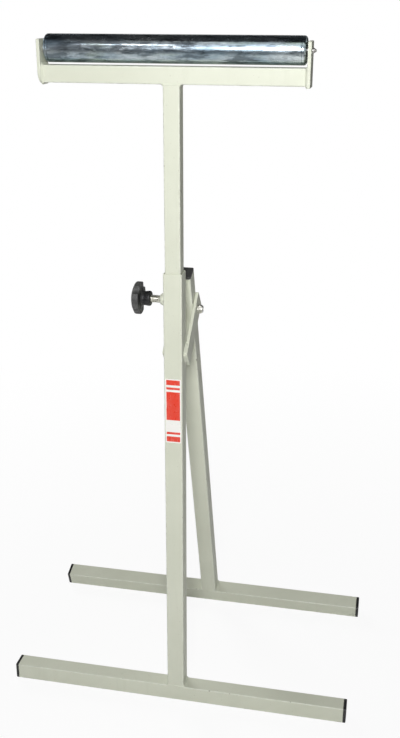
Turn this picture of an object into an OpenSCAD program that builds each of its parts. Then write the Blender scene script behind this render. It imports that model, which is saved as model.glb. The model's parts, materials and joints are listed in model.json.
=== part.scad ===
// Folding roller stand of square steel tube, with a height-adjustable head.
// Origin: on the floor, under the middle of the outer post.
// X runs along the roller, Y from the outer post to the rear leg, and Z up.

/* [Frame tube] */
// Width of the square tube of the feet, the outer post and the rear leg
tube_w = 30; // [28:1:33]
// Wall of the frame tube
tube_wall = 1.5; // [1.2:0.1:2]
// Outer corner radius of the frame tube
tube_corner = 2; // [1.6:0.1:2.4]
// Length of the front foot bar over its two end caps
foot_len = 617; // [450:1:700]
// Length of the rear foot bar over its two end caps
rear_foot_len = 629; // [450:1:700]
// Length of the outer post above the front foot bar
post_len = 772; // [700:1:860]

/* [Rear frame] */
// Lean of the rear leg from upright, with its top towards the post
leg_tilt = 18.5; // [16:0.5:21]
// Length of the leg tube above the hinge bolt
leg_above = 67; // [50:1:80]
// Distance of the hinge bolt behind the middle of the outer post
hinge_back = 83.3; // [80:0.1:90]
// Distance of the hinge bolt below the top of the outer post
hinge_drop = 83; // [60:1:110]

/* [Hinge brackets] */
// Width of the two flat bars
bracket_w = 35; // [30:1:40]
// Thickness of the flat bars
bracket_t = 5; // [3:0.5:6]
// Length of the flat bars
bracket_len = 120; // [116:1:130]
// Distance of the bolt hole from the upper end of the flat bars
bracket_end = 22; // [18:1:24]
// Rise of the flat bars above level
bracket_rise = 40.3; // [36:0.1:45]
// Gap between a flat bar and the post or the leg beside it
bracket_gap = 0.3; // [0.2:0.05:0.5]
// Diameter of the hinge bolt
hinge_bolt_d = 8; // [6:0.5:10]

/* [Head] */
// Clear height between the outer post and the cross bar
head_lift = 280; // [60:5:360]
// Length of the inner post below the cross bar
inner_len = 480; // [440:5:560]
// Gap between the inner post and the outer post on each side
slide_gap = 1; // [0.6:0.1:1.4]
// Wall of the inner post and of the cross bar
slim_wall = 1.5; // [1.2:0.1:2]
// Outer corner radius of the inner post and of the cross bar
slim_corner = 2; // [1.6:0.1:2.4]
// Length of the cross bar between the end plates
bar_len = 389; // [250:1:500]
// Thickness of the end plates
plate_t = 5; // [4:0.5:7]
// Width of the end plates
plate_w = 35; // [33:1:44]
// Height of the end plates above the middle of the axle
plate_above = 13; // [10:0.5:20]
// Reach of the end plates below the cross bar
plate_below = 2; // [1:0.5:6]
// Radius of the upper corners of the end plates
plate_corner = 2; // [1:0.5:6]

/* [Roller] */
// Diameter of the roller
roller_d = 40; // [36:1:50]
// Wall of the roller tube
roller_wall = 1.5; // [1.2:0.1:2]
// Gap between the roller and the cross bar
roller_gap = 3; // [2:0.5:8]
// Gap between the roller and the left end plate
roller_gap_left = 4.8; // [3:0.1:14]
// Gap between the roller and the right end plate
roller_gap_right = 2.2; // [2.2:0.1:8]
// Width of the rounded rim of a bearing housing outside the roller tube
rim_w = 6; // [5:0.5:8]
// Diameter of the axle
axle_d = 8; // [7:0.5:9]
// Reach of the axle past the right end plate
axle_reach = 5.7; // [4:0.1:10]
// Number of balls in each bearing
ball_count = 10; // [9:1:12]
// Diameter of a bearing ball
ball_d = 4.5; // [4:0.1:5]

/* [Height lock] */
// Diameter of the clamping screw
screw_d = 12; // [10:0.5:12]
// Distance of the clamping screw below the top of the outer post
lock_drop = 44.4; // [35:0.1:55]
// Length of the threaded boss
boss_len = 7.7; // [6:0.1:12]
// Clear length of screw between the boss and the knob
screw_show = 14.6; // [8:0.1:20]
// Diameter of the knob's hub
hub_d = 24; // [22:1:30]
// Length of the knob's hub
hub_len = 15.8; // [12:0.1:24]
// Diameter of the knob's head across its lobes
knob_d = 51.5; // [46:0.5:64]
// Height of the knob's head with its dome
knob_h = 15.5; // [13:0.5:26]
// Number of lobes on the knob
knob_lobes = 4; // [3:1:6]

/* [End caps and label] */
// Thickness of a foot cap's head
cap_head = 5.5; // [2:0.5:7]
// Thickness of the leg plug's head
plug_head = 5; // [2:0.1:8]
// Length of the stem of a cap or plug inside its tube
cap_stem = 14; // [12:1:20]
// Height of the label
label_h = 112; // [60:1:150]
// Height of the label's lower edge above the front foot bar
label_low = 488; // [400:1:600]

/* [Hidden] */

// Facets of a full circle
$fn = 64;

// Overrun of every cut past the surface that it opens
cut = 1;
// Radial running fit of a shaft in its hole
run_fit = 0.05;
// Radial fit of a fixed pin, ring or sleeve
fixed_fit = 0.05;
// Inner corner radius of a tube as a share of its outer one
inner_corner_share = 0.4;

// Finishes
paint_colour = [0.88, 0.90, 0.82];
zinc_colour = [0.60, 0.64, 0.68];
steel_colour = [0.72, 0.72, 0.70];
black_colour = [0.08, 0.08, 0.08];
label_colour = [0.90, 0.33, 0.14];
nylon_colour = [0.85, 0.88, 0.92];

// Weld beads: side leg, proud height on flush faces, blunt toe and depth below the seam
weld_leg = 4.5;
weld_proud = 0.9;
weld_toe = 0.6;
weld_root = 2.6;
// Weld beads of the head
head_weld_leg = 4;

// Caps and plugs: edge rounding, fit in the tube, shell, and the fins on the stem
cap_edge = 1.2;
cap_fit = 0.1;
cap_shell = 1.6;
cap_fin_t = 1;
cap_fin_depth = 1;
cap_fin_count = 3;

// Label thickness
label_t = 0.3;

// Hinge bolt, washers and lock nut: sizes as shares of the bolt's diameter
hex_flats_share = 13 / 8;
bolt_head_share = 5.3 / 8;
washer_d_share = 2;
washer_t = 1.2;
nut_h_share = 7.4 / 8;
nut_ring_h_share = 2 / 8;
nut_collar_d_share = 12 / 8;
nut_lip_share = 0.5 / 8;
nut_ring_wall_share = 1.1 / 8;

// Boss: diameters at its tip, on its barrel and at the post, and the length of its tapered tip
boss_tip_d = 14.4;
boss_d = 19;
boss_flare_d = 21;
boss_tip_len = 3.6;
boss_flare_len = 2;

// Clamping pad: thickness, and its space from the inner post while clamped
pad_t = 3;
pad_gap = 0.1;
// Depth of the screw inside the knob
knob_grip = 22;
// Knob: edge rounding of the hub, height of the head's edge, and its scallops
hub_edge = 2.6;
knob_rim_h = 8.6;
scallop_d = 16;
scallop_depth = 5;

// Roller tube: chamfer at its ends
tube_chamfer = 0.7;
// Bearing housing: sheet thickness, rim rounding, length of its plug, and width of its ball ring
housing_wall = 1.5;
rim_round = 4.5;
plug_len = 12;
race_len = 9;
race_wall = 1.6;
race_step_share = 0.4;
race_gap = 0.1;
// Free space between neighbouring balls
ball_gap = 0.45;
// Axle: diameter of its pointed tip, and length of its plain end past the plate
axle_point_d = 2.6;
axle_plain = 1.4;
// Axle clips: thickness, outer diameter, groove depth, side play and mouth
clip_t = 1;
clip_d = 14;
clip_groove = 0.5;
clip_play = 0.1;
clip_mouth_share = 0.8;
// Axle collars: outer diameter, and side play of each collar
collar_d = 12;
collar_play = 0.1;

// Derived sizes
tube_in = tube_w - 2 * tube_wall;
foot_tube_len = foot_len - 2 * cap_head;
rear_tube_len = rear_foot_len - 2 * cap_head;
post_top = tube_w + post_len;
slim_w = tube_in - 2 * slide_gap;
bar_low = post_top + head_lift;
bar_top = bar_low + slim_w;
axle_z = bar_top + roller_gap + roller_d / 2;
plate_x = bar_len / 2;
plate_low = bar_low - plate_below;
plate_top = axle_z + plate_above;
roller_left = -plate_x + roller_gap_left;
roller_right = plate_x - roller_gap_right;
roller_r = roller_d / 2;
pitch_r = (ball_d + ball_gap) / sin(180 / ball_count) / 2;
groove_r = ball_d / 2 + race_gap;
race_step = ball_d * race_step_share / 2;
race_out_r = pitch_r - race_step;
ring_in_r = pitch_r + race_step;
ring_out_r = pitch_r + groove_r + race_wall;
plug_r = roller_r - roller_wall - fixed_fit;
hinge_z = post_top - hinge_drop;
lock_z = post_top - lock_drop;
pad_x = -slim_w / 2 - pad_gap;
screw_tip_x = pad_x - pad_t;
boss_tip_x = -tube_w / 2 - boss_len;
hub_x = boss_tip_x - screw_show;
bracket_in = tube_w / 2 + bracket_gap;
bracket_out = bracket_in + bracket_t;
// Middle of the rear foot bar: its lowest edge touches the floor
rear_foot_z = (tube_w / 2 - tube_corner) * (cos(leg_tilt) + sin(leg_tilt)) + tube_corner;
leg_reach = (hinge_z - rear_foot_z) / cos(leg_tilt);
rear_foot_y = hinge_back + leg_reach * sin(leg_tilt);
leg_tube_len = leg_reach - tube_w / 2 + leg_above;
bolt_head_h = hinge_bolt_d * bolt_head_share;
nut_h = hinge_bolt_d * nut_h_share;
nut_ring_h = hinge_bolt_d * nut_ring_h_share;
nut_lip = hinge_bolt_d * nut_lip_share;
hex_flats = hinge_bolt_d * hex_flats_share;
// Diameter of a hexagon over its corners as a multiple of its width over flats
hex_corner_share = 1 / cos(30);

// Square with round corners
module rounded_square(w, r) {
    square([w, w - 2 * r], center = true);
    square([w - 2 * r, w], center = true);
    for (x = [-1, 1], y = [-1, 1]) {
        translate([x * (w / 2 - r), y * (w / 2 - r)]) circle(r = r);
    }
}

// Section of a square tube
module tube_section(w, wall, r) {
    difference() {
        rounded_square(w, r);
        rounded_square(w - 2 * wall, r * inner_corner_share);
    }
}

// Places children with their Z along X
module along_x() {
    rotate([0, 90, 0]) children();
}

// Round body about the X axis, from an outline drawn as radius and distance along X
module turned_x() {
    rotate([0, 90, 0]) rotate_extrude() children();
}

// Frame of the rear T: origin in the middle of the rear foot bar, Z up the leg
module rear_frame() {
    translate([0, rear_foot_y, rear_foot_z]) rotate([leg_tilt, 0, 0]) children();
}

// Hollow foot bar of a length about the origin
module foot_tube(length) {
    along_x() translate([0, 0, -length / 2]) linear_extrude(length) {
        tube_section(tube_w, tube_wall, tube_corner);
    }
}

// Outline of a cap's head from the side, flat below and round at its upper corners
module loaf(w, h, r) {
    translate([-w / 2, 0]) square([w, h - r]);
    translate([r - w / 2, 0]) square([w - 2 * r, h]);
    for (x = [-1, 1]) {
        translate([x * (w / 2 - r), h - r]) circle(r = r);
    }
}

// Push-in cap: head above the tube's end at z = 0, finned hollow stem below
module tube_cap(head_h) {
    fin_w = tube_in - 2 * cap_fit;
    stem_w = fin_w - 2 * cap_fin_depth;
    inner_r = tube_corner * inner_corner_share;
    intersection() {
        linear_extrude(head_h) rounded_square(tube_w, tube_corner);
        rotate([90, 0, 0]) translate([0, 0, -tube_w]) linear_extrude(2 * tube_w) {
            loaf(tube_w, head_h, cap_edge);
        }
        rotate([90, 0, 90]) translate([0, 0, -tube_w]) linear_extrude(2 * tube_w) {
            loaf(tube_w, head_h, cap_edge);
        }
    }
    difference() {
        union() {
            translate([0, 0, -cap_stem]) linear_extrude(cap_stem) rounded_square(stem_w, inner_r);
            for (i = [1 : cap_fin_count]) {
                translate([0, 0, -i * cap_stem / (cap_fin_count + 1) - cap_fin_t / 2]) {
                    linear_extrude(cap_fin_t) rounded_square(fin_w, inner_r);
                }
            }
        }
        translate([0, 0, -cap_stem - cut]) linear_extrude(cap_stem + cut) {
            rounded_square(stem_w - 2 * cap_shell, inner_r);
        }
    }
}

// Foot cap at the end of a foot bar of a length about the origin, side -1 or 1
module foot_cap(side, length) {
    translate([side * length / 2, 0, 0]) rotate([0, side * 90, 0]) tube_cap(cap_head);
}

// Outline of a weld collar from the side: a low wedge on both sides of a post
module collar_outline(w, leg) {
    polygon([
        [-w / 2 - leg, -weld_root], [w / 2 + leg, -weld_root],
        [w / 2 + leg, weld_toe], [w / 2 + weld_toe, leg],
        [-w / 2 - weld_toe, leg], [-w / 2 - leg, weld_toe]
    ]);
}

// Outline of the same collar on the faces where post and bar lie flush
module flush_outline(w, leg) {
    polygon([
        [-w / 2 - weld_proud, -weld_root], [w / 2 + weld_proud, -weld_root],
        [w / 2 + weld_proud, weld_toe], [w / 2, weld_root],
        [w / 2, leg], [-w / 2, leg],
        [-w / 2, weld_root], [-w / 2 - weld_proud, weld_toe]
    ]);
}

// Weld where a square post stands on a bar of the same width, seam at z = 0
module tee_weld(w, corner, leg) {
    difference() {
        intersection() {
            rotate([90, 0, 0]) translate([0, 0, -w]) linear_extrude(2 * w) collar_outline(w, leg);
            rotate([90, 0, 90]) translate([0, 0, -w]) linear_extrude(2 * w) flush_outline(w, leg);
        }
        linear_extrude(leg + cut) rounded_square(w, corner);
        along_x() translate([w / 2, 0, -w]) linear_extrude(2 * w) rounded_square(w, corner);
    }
}

module front_foot_bar() {
    color(paint_colour) translate([0, 0, tube_w / 2]) foot_tube(foot_tube_len);
}

module front_foot_cap_left() {
    color(black_colour) translate([0, 0, tube_w / 2]) foot_cap(-1, foot_tube_len);
}

module front_foot_cap_right() {
    color(black_colour) translate([0, 0, tube_w / 2]) foot_cap(1, foot_tube_len);
}

module outer_post() {
    color(paint_colour) difference() {
        translate([0, 0, tube_w]) linear_extrude(post_len) {
            tube_section(tube_w, tube_wall, tube_corner);
        }
        translate([-tube_w / 2 - cut, 0, lock_z]) along_x() {
            cylinder(r = screw_d / 2 + run_fit, h = tube_wall + 2 * cut);
        }
    }
}

module post_foot_weld() {
    color(paint_colour) translate([0, 0, tube_w]) tee_weld(tube_w, tube_corner, weld_leg);
}

// Flat bar with its bolt hole at the origin, lower end towards -X, from y = 0 to its thickness
module flat_bar() {
    rotate([90, 0, 0]) translate([0, 0, -bracket_t]) difference() {
        translate([bracket_end - bracket_len, -bracket_w / 2]) {
            linear_extrude(bracket_t) square([bracket_len, bracket_w]);
        }
        translate([0, 0, -cut]) cylinder(r = hinge_bolt_d / 2 + fixed_fit, h = bracket_t + 2 * cut);
    }
}

// Frame of a hinge bracket: X up the bar, Y to the right, origin on the bolt's axis
module bracket_frame() {
    translate([0, hinge_back, hinge_z]) rotate([0, 0, 90]) rotate([0, -bracket_rise, 0]) {
        mirror([0, 1, 0]) children();
    }
}

module hinge_bracket_left() {
    color(paint_colour) bracket_frame() translate([0, -bracket_out, 0]) flat_bar();
}

module hinge_bracket_right() {
    color(paint_colour) bracket_frame() translate([0, bracket_in, 0]) flat_bar();
}

// Half-round weld bead of a given length along X, on the floor y = 0, against the wall z = 0
module bead(length) {
    along_x() linear_extrude(length) intersection() {
        circle(r = weld_leg);
        translate([-weld_leg - cut, 0]) square([weld_leg + cut, weld_leg + cut]);
    }
}

// Beads round the lower end of the right flat bar, in the frame of the bracket
module bracket_beads() {
    low_end = bracket_end - bracket_len;
    translate([low_end - weld_leg, tube_w / 2, bracket_w / 2]) bead(bracket_len / 2);
    translate([low_end, tube_w / 2, bracket_w / 2 + weld_leg]) rotate([0, 90, 0]) {
        mirror([0, 0, 1]) bead(bracket_w);
    }
}

module bracket_welds() {
    flat = tube_w - 2 * tube_corner;
    color(paint_colour) for (side = [0, 1]) {
        mirror([side, 0, 0]) intersection() {
            bracket_frame() bracket_beads();
            translate([0, -flat / 2, 0]) cube([2 * tube_w, flat, post_top]);
        }
    }
}

module lock_boss() {
    color(paint_colour) translate([0, 0, lock_z]) difference() {
        turned_x() polygon([
            [0, -tube_w / 2], [boss_flare_d / 2, -tube_w / 2],
            [boss_d / 2, -tube_w / 2 - boss_flare_len],
            [boss_d / 2, boss_tip_x + boss_tip_len],
            [boss_tip_d / 2, boss_tip_x], [0, boss_tip_x]
        ]);
        translate([boss_tip_x - cut, 0, 0]) along_x() {
            cylinder(r = screw_d / 2 + run_fit, h = boss_len + 2 * cut);
        }
    }
}

module post_label() {
    color(label_colour) translate([tube_corner - tube_w / 2, -tube_w / 2 - label_t, tube_w + label_low]) {
        cube([tube_w - 2 * tube_corner, label_t, label_h]);
    }
}

// Hexagonal prism along X, with a flat upwards
module hexagon_x(flats, h) {
    along_x() rotate([0, 0, 30]) cylinder(d = flats * hex_corner_share, h = h, $fn = 6);
}

module hinge_bolt() {
    head_in = -bracket_out - washer_t;
    shank_end = bracket_out + washer_t + nut_h - nut_lip;
    color(zinc_colour) translate([0, hinge_back, hinge_z]) {
        translate([head_in - bolt_head_h, 0, 0]) hexagon_x(hex_flats, bolt_head_h);
        translate([head_in, 0, 0]) along_x() cylinder(d = hinge_bolt_d, h = shank_end - head_in);
    }
}

module hinge_washers() {
    left = -bracket_out - washer_t;
    color(zinc_colour) for (x = [left, bracket_out]) {
        translate([x, hinge_back, hinge_z]) along_x() difference() {
            cylinder(d = hinge_bolt_d * washer_d_share, h = washer_t);
            translate([0, 0, -cut]) cylinder(r = hinge_bolt_d / 2 + fixed_fit, h = washer_t + 2 * cut);
        }
    }
}

// Radius of the space for the nylon ring in the lock nut
function nut_ring_r() = hinge_bolt_d / 2 + fixed_fit + hinge_bolt_d * nut_ring_wall_share;

module hinge_nut() {
    hex_h = nut_h - nut_ring_h;
    color(zinc_colour) translate([bracket_out + washer_t, hinge_back, hinge_z]) difference() {
        union() {
            hexagon_x(hex_flats, hex_h);
            along_x() cylinder(d = hinge_bolt_d * nut_collar_d_share, h = nut_h);
        }
        translate([-cut, 0, 0]) along_x() cylinder(r = hinge_bolt_d / 2 + fixed_fit, h = nut_h + 2 * cut);
        translate([hex_h, 0, 0]) along_x() cylinder(r = nut_ring_r() + fixed_fit, h = nut_h);
    }
}

module hinge_nut_ring() {
    color(nylon_colour) translate([bracket_out + washer_t + nut_h - nut_ring_h, hinge_back, hinge_z]) {
        along_x() difference() {
            cylinder(r = nut_ring_r(), h = nut_ring_h - nut_lip);
            translate([0, 0, -cut]) cylinder(r = hinge_bolt_d / 2 + fixed_fit, h = nut_ring_h + 2 * cut);
        }
    }
}

module lock_pad() {
    color(steel_colour) translate([screw_tip_x, 0, lock_z]) along_x() cylinder(d = screw_d, h = pad_t);
}

module lock_screw() {
    screw_len = screw_tip_x - hub_x + knob_grip;
    color(zinc_colour) translate([hub_x - knob_grip, 0, lock_z]) along_x() {
        cylinder(d = screw_d, h = screw_len);
    }
}

// Side outline of the knob: radius and distance from the hub's end
module knob_section() {
    dome_sag = knob_h - knob_rim_h;
    dome_r = (pow(knob_d / 2, 2) + pow(dome_sag, 2)) / (2 * dome_sag);
    square([hub_d / 2, hub_len + hub_edge]);
    translate([0, hub_len]) intersection() {
        square([knob_d / 2, knob_h]);
        translate([0, knob_h - dome_r]) circle(r = dome_r, $fn = 2 * $fn);
    }
}

// End view of the knob's head: a disc with one scallop between each pair of lobes
module knob_outline() {
    difference() {
        circle(d = knob_d + 2 * cut);
        for (i = [0 : knob_lobes - 1]) {
            rotate((i + 1 / 2) * 360 / knob_lobes) {
                translate([(knob_d + scallop_d) / 2 - scallop_depth, 0]) circle(d = scallop_d);
            }
        }
    }
}

module lock_knob() {
    color(black_colour) translate([hub_x, 0, lock_z]) rotate([0, -90, 0]) difference() {
        intersection() {
            rotate_extrude() knob_section();
            union() {
                cylinder(r1 = hub_d / 2 - hub_edge, r2 = hub_d / 2 + hub_len, h = hub_len + hub_edge);
                translate([0, 0, hub_len]) linear_extrude(knob_h + cut) knob_outline();
            }
        }
        translate([0, 0, -cut]) cylinder(r = screw_d / 2 + fixed_fit, h = knob_grip + cut);
    }
}

module inner_post() {
    color(paint_colour) translate([0, 0, bar_low - inner_len]) linear_extrude(inner_len) {
        tube_section(slim_w, slim_wall, slim_corner);
    }
}

module cross_bar() {
    color(paint_colour) translate([-plate_x, 0, bar_low + slim_w / 2]) along_x() linear_extrude(bar_len) {
        tube_section(slim_w, slim_wall, slim_corner);
    }
}

// Outline of an end plate: depth and height. The left one is round at the lower end, the right one square.
module plate_outline(side) {
    low = plate_low + (side < 0 ? plate_w / 2 : plate_corner);
    inner_w = plate_w - 2 * plate_corner;
    translate([-plate_w / 2, low]) square([plate_w, plate_top - plate_corner - low]);
    translate([-inner_w / 2, low]) square([inner_w, plate_top - low]);
    for (edge = [-1, 1]) {
        translate([edge * inner_w / 2, plate_top - plate_corner]) circle(r = plate_corner);
    }
    if (side < 0) {
        translate([0, low]) circle(d = plate_w, $fn = 2 * $fn);
    } else {
        translate([-inner_w / 2, plate_low]) square([inner_w, 2 * plate_corner]);
        for (edge = [-1, 1]) {
            translate([edge * inner_w / 2, low]) circle(r = plate_corner);
        }
    }
}

// End plate from x = 0 to its thickness
module end_plate(side) {
    rotate([90, 0, 90]) difference() {
        linear_extrude(plate_t) plate_outline(side);
        translate([0, axle_z, -cut]) cylinder(r = axle_d / 2 + fixed_fit, h = plate_t + 2 * cut);
    }
}

module end_plate_left() {
    color(paint_colour) translate([-plate_x - plate_t, 0, 0]) end_plate(-1);
}

module end_plate_right() {
    color(paint_colour) translate([plate_x, 0, 0]) end_plate(1);
}

// Outline of the weld round the end of a square bar on a plate at x = 0: along the bar, and across it
module end_outline(w, leg) {
    polygon([
        [0, -w / 2 - leg], [weld_toe, -w / 2 - leg], [leg, -w / 2 - weld_toe],
        [leg, w / 2 + weld_toe], [weld_toe, w / 2 + leg], [0, w / 2 + leg]
    ]);
}

// Weld round the left end of the cross bar, kept inside the outline of one side's end plate
module plate_weld(side) {
    difference() {
        intersection() {
            translate([-plate_x, slim_w, bar_low + slim_w / 2]) rotate([90, 0, 0]) {
                linear_extrude(2 * slim_w) end_outline(slim_w, head_weld_leg);
            }
            translate([-plate_x, 0, bar_low - slim_w]) {
                linear_extrude(3 * slim_w) end_outline(slim_w, head_weld_leg);
            }
            translate([-plate_x, 0, 0]) rotate([90, 0, 90]) {
                linear_extrude(head_weld_leg + cut) plate_outline(side);
            }
        }
        translate([-plate_x - cut, 0, bar_low + slim_w / 2]) along_x() {
            linear_extrude(head_weld_leg + 3 * cut) rounded_square(slim_w, slim_corner);
        }
    }
}

module head_welds() {
    color(paint_colour) {
        translate([0, 0, bar_low]) mirror([0, 0, 1]) tee_weld(slim_w, slim_corner, head_weld_leg);
        plate_weld(-1);
        mirror([1, 0, 0]) plate_weld(1);
    }
}

// Distance along X of a clip's inner face from the middle
clip_x = plate_x - clip_play - clip_t;

module roller_axle() {
    axle_r = axle_d / 2;
    right_end = plate_x + plate_t + axle_reach;
    color(steel_colour) translate([0, 0, axle_z]) difference() {
        turned_x() polygon([
            [0, -plate_x - plate_t], [axle_r, -plate_x - plate_t],
            [axle_r, plate_x + plate_t + axle_plain],
            [axle_point_d / 2, right_end], [0, right_end]
        ]);
        for (x = [-clip_x - clip_t, clip_x]) {
            turned_x() translate([axle_r - clip_groove, x - clip_play / 2]) {
                square([clip_groove + cut, clip_t + clip_play]);
            }
        }
    }
}

module axle_clips() {
    bore_r = axle_d / 2 - clip_groove + fixed_fit;
    color(steel_colour) translate([0, 0, axle_z]) for (x = [-clip_x - clip_t, clip_x]) {
        translate([x, 0, 0]) along_x() difference() {
            cylinder(d = clip_d, h = clip_t);
            translate([0, 0, -cut]) cylinder(r = bore_r, h = clip_t + 2 * cut);
            translate([0, -bore_r * clip_mouth_share, -cut]) {
                cube([clip_d, 2 * bore_r * clip_mouth_share, clip_t + 2 * cut]);
            }
        }
    }
}

// Collar on the axle between two places along X
module axle_collar(x_from, x_to) {
    translate([x_from + collar_play, 0, axle_z]) along_x() difference() {
        cylinder(d = collar_d, h = x_to - x_from - 2 * collar_play);
        translate([0, 0, -cut]) cylinder(r = axle_d / 2 + fixed_fit, h = x_to - x_from + 2 * cut);
    }
}

module axle_collar_left() {
    color(steel_colour) axle_collar(-clip_x, roller_left);
}

module axle_collar_right() {
    color(steel_colour) axle_collar(roller_right, clip_x);
}

// Places children at an end of the roller, with +X into the roller, side -1 for left and 1 for right
module roller_end(side) {
    translate([side < 0 ? roller_left : roller_right, 0, axle_z]) {
        mirror([side < 0 ? 0 : 1, 0, 0]) children();
    }
}

// Groove in which the balls run
module ball_groove() {
    translate([pitch_r, race_len / 2]) circle(r = groove_r);
}

module bearing_race(side) {
    bore_r = axle_d / 2 + fixed_fit;
    color(steel_colour) roller_end(side) turned_x() difference() {
        translate([bore_r, 0]) square([race_out_r - bore_r, race_len]);
        ball_groove();
    }
}

module bearing_race_left() {
    bearing_race(-1);
}

module bearing_race_right() {
    bearing_race(1);
}

module bearing_balls(side) {
    color(steel_colour) roller_end(side) for (i = [0 : ball_count - 1]) {
        rotate([i * 360 / ball_count, 0, 0]) translate([race_len / 2, 0, pitch_r]) sphere(d = ball_d);
    }
}

module bearing_balls_left() {
    bearing_balls(-1);
}

module bearing_balls_right() {
    bearing_balls(1);
}

module roller_tube() {
    r_in = roller_r - roller_wall;
    x_left = roller_left + rim_w;
    x_right = roller_right - rim_w;
    color(zinc_colour) translate([0, 0, axle_z]) turned_x() polygon([
        [r_in, x_left], [roller_r - tube_chamfer, x_left], [roller_r, x_left + tube_chamfer],
        [roller_r, x_right - tube_chamfer], [roller_r - tube_chamfer, x_right], [r_in, x_right]
    ]);
}

// Half section of a disc with one round corner, radius and distance into the roller
module dish_section(r, depth, corner) {
    translate([0, corner]) square([r, depth - corner]);
    square([r - corner, depth]);
    intersection() {
        translate([r - corner, corner]) circle(r = corner);
        translate([r - corner, 0]) square([corner, corner]);
    }
}

// Half section of a bearing housing: rounded rim, plug in the tube and ring round the balls
module housing_section() {
    difference() {
        dish_section(roller_r, rim_w, rim_round);
        translate([0, housing_wall]) dish_section(roller_r - housing_wall, rim_w, rim_round - housing_wall);
        square([ring_in_r, rim_w]);
    }
    translate([plug_r - housing_wall, rim_w - housing_wall]) {
        square([roller_r - plug_r + housing_wall, housing_wall]);
        square([housing_wall, housing_wall + plug_len]);
    }
    difference() {
        translate([ring_in_r, 0]) square([ring_out_r - ring_in_r, race_len]);
        ball_groove();
    }
}

module roller_housing(side) {
    color(zinc_colour) roller_end(side) turned_x() housing_section();
}

module roller_housing_left() {
    roller_housing(-1);
}

module roller_housing_right() {
    roller_housing(1);
}

module rear_leg() {
    color(paint_colour) rear_frame() difference() {
        translate([0, 0, tube_w / 2]) linear_extrude(leg_tube_len) {
            tube_section(tube_w, tube_wall, tube_corner);
        }
        translate([-tube_w, 0, leg_reach]) along_x() {
            cylinder(r = hinge_bolt_d / 2 + run_fit, h = 2 * tube_w);
        }
    }
}

module rear_leg_plug() {
    color(black_colour) rear_frame() translate([0, 0, tube_w / 2 + leg_tube_len]) tube_cap(plug_head);
}

module rear_foot_bar() {
    color(paint_colour) rear_frame() foot_tube(rear_tube_len);
}

module rear_foot_cap_left() {
    color(black_colour) rear_frame() foot_cap(-1, rear_tube_len);
}

module rear_foot_cap_right() {
    color(black_colour) rear_frame() foot_cap(1, rear_tube_len);
}

module rear_foot_weld() {
    color(paint_colour) rear_frame() translate([0, 0, tube_w / 2]) tee_weld(tube_w, tube_corner, weld_leg);
}

front_foot_bar();
front_foot_cap_left();
front_foot_cap_right();
outer_post();
post_foot_weld();
hinge_bracket_left();
hinge_bracket_right();
bracket_welds();
lock_boss();
post_label();
hinge_bolt();
hinge_washers();
hinge_nut();
hinge_nut_ring();
lock_pad();
lock_screw();
lock_knob();
inner_post();
cross_bar();
end_plate_left();
end_plate_right();
head_welds();
roller_axle();
axle_clips();
axle_collar_left();
axle_collar_right();
bearing_race_left();
bearing_race_right();
bearing_balls_left();
bearing_balls_right();
roller_tube();
roller_housing_left();
roller_housing_right();
rear_leg();
rear_leg_plug();
rear_foot_bar();
rear_foot_cap_left();
rear_foot_cap_right();
rear_foot_weld();
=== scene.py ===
"""Looks of a folding roller stand of square steel tube, in metres.

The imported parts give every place. Each sub-assembly is a class that works out its surfaces
with numpy, gives them their finish and lets them ride on their body.
X runs along the roller, Y from the front post to the rear leg, and Z up.
"""

import json
import logging
import math
from dataclasses import dataclass
from enum import Enum
from functools import reduce

import bpy
import numpy as np
from mathutils import Matrix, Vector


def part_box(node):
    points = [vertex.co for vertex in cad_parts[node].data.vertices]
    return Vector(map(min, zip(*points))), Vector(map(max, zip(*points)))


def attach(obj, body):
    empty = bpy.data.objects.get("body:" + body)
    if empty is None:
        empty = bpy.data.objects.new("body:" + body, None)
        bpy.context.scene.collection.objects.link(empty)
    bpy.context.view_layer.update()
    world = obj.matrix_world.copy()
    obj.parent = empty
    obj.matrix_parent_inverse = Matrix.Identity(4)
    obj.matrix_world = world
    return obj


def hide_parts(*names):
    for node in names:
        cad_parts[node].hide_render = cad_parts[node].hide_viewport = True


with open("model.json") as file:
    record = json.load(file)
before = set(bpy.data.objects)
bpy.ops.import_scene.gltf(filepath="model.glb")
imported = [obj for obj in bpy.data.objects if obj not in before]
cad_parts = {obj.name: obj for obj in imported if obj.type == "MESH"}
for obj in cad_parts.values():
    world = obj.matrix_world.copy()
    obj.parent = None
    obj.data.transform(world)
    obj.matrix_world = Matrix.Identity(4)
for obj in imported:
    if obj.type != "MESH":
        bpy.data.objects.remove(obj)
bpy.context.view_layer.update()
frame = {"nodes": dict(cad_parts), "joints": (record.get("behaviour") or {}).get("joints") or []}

Array = np.ndarray
Point = tuple[float, float, float]
Colour = tuple[float, float, float]
Socket = bpy.types.NodeSocket
LOG = logging.getLogger("roller_stand")
MM = 0.001
X_AXIS, Y_AXIS, Z_AXIS = np.eye(3)
HALF_TURN = np.pi
QUARTER_TURN = np.pi / 2
TUBE_CORNER = 2.2 * MM
PLATE_STEP = 1.5 * MM  # greatest distance between points round a plate
SAME_POINT = 1e-7  # points of a path that lie closer are one


class Body(Enum):
    """Bodies of the frame that new pieces ride on."""

    FRONT_FRAME = "front_frame"
    CLAMP_SCREW = "clamp_screw"
    HEAD = "head"
    ROLLER = "roller"
    REAR_FRAME = "rear_frame"


class Side(Enum):
    """Left or right end of a piece along X."""

    LEFT = -1
    RIGHT = 1

    @property
    def word(self) -> str:
        """The side's name as it stands in the names of pieces."""
        return self.name.lower()

    @property
    def outward(self) -> Array:
        """Unit vector out of the stand on this side."""
        return X_AXIS * self.value


# Places


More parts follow.
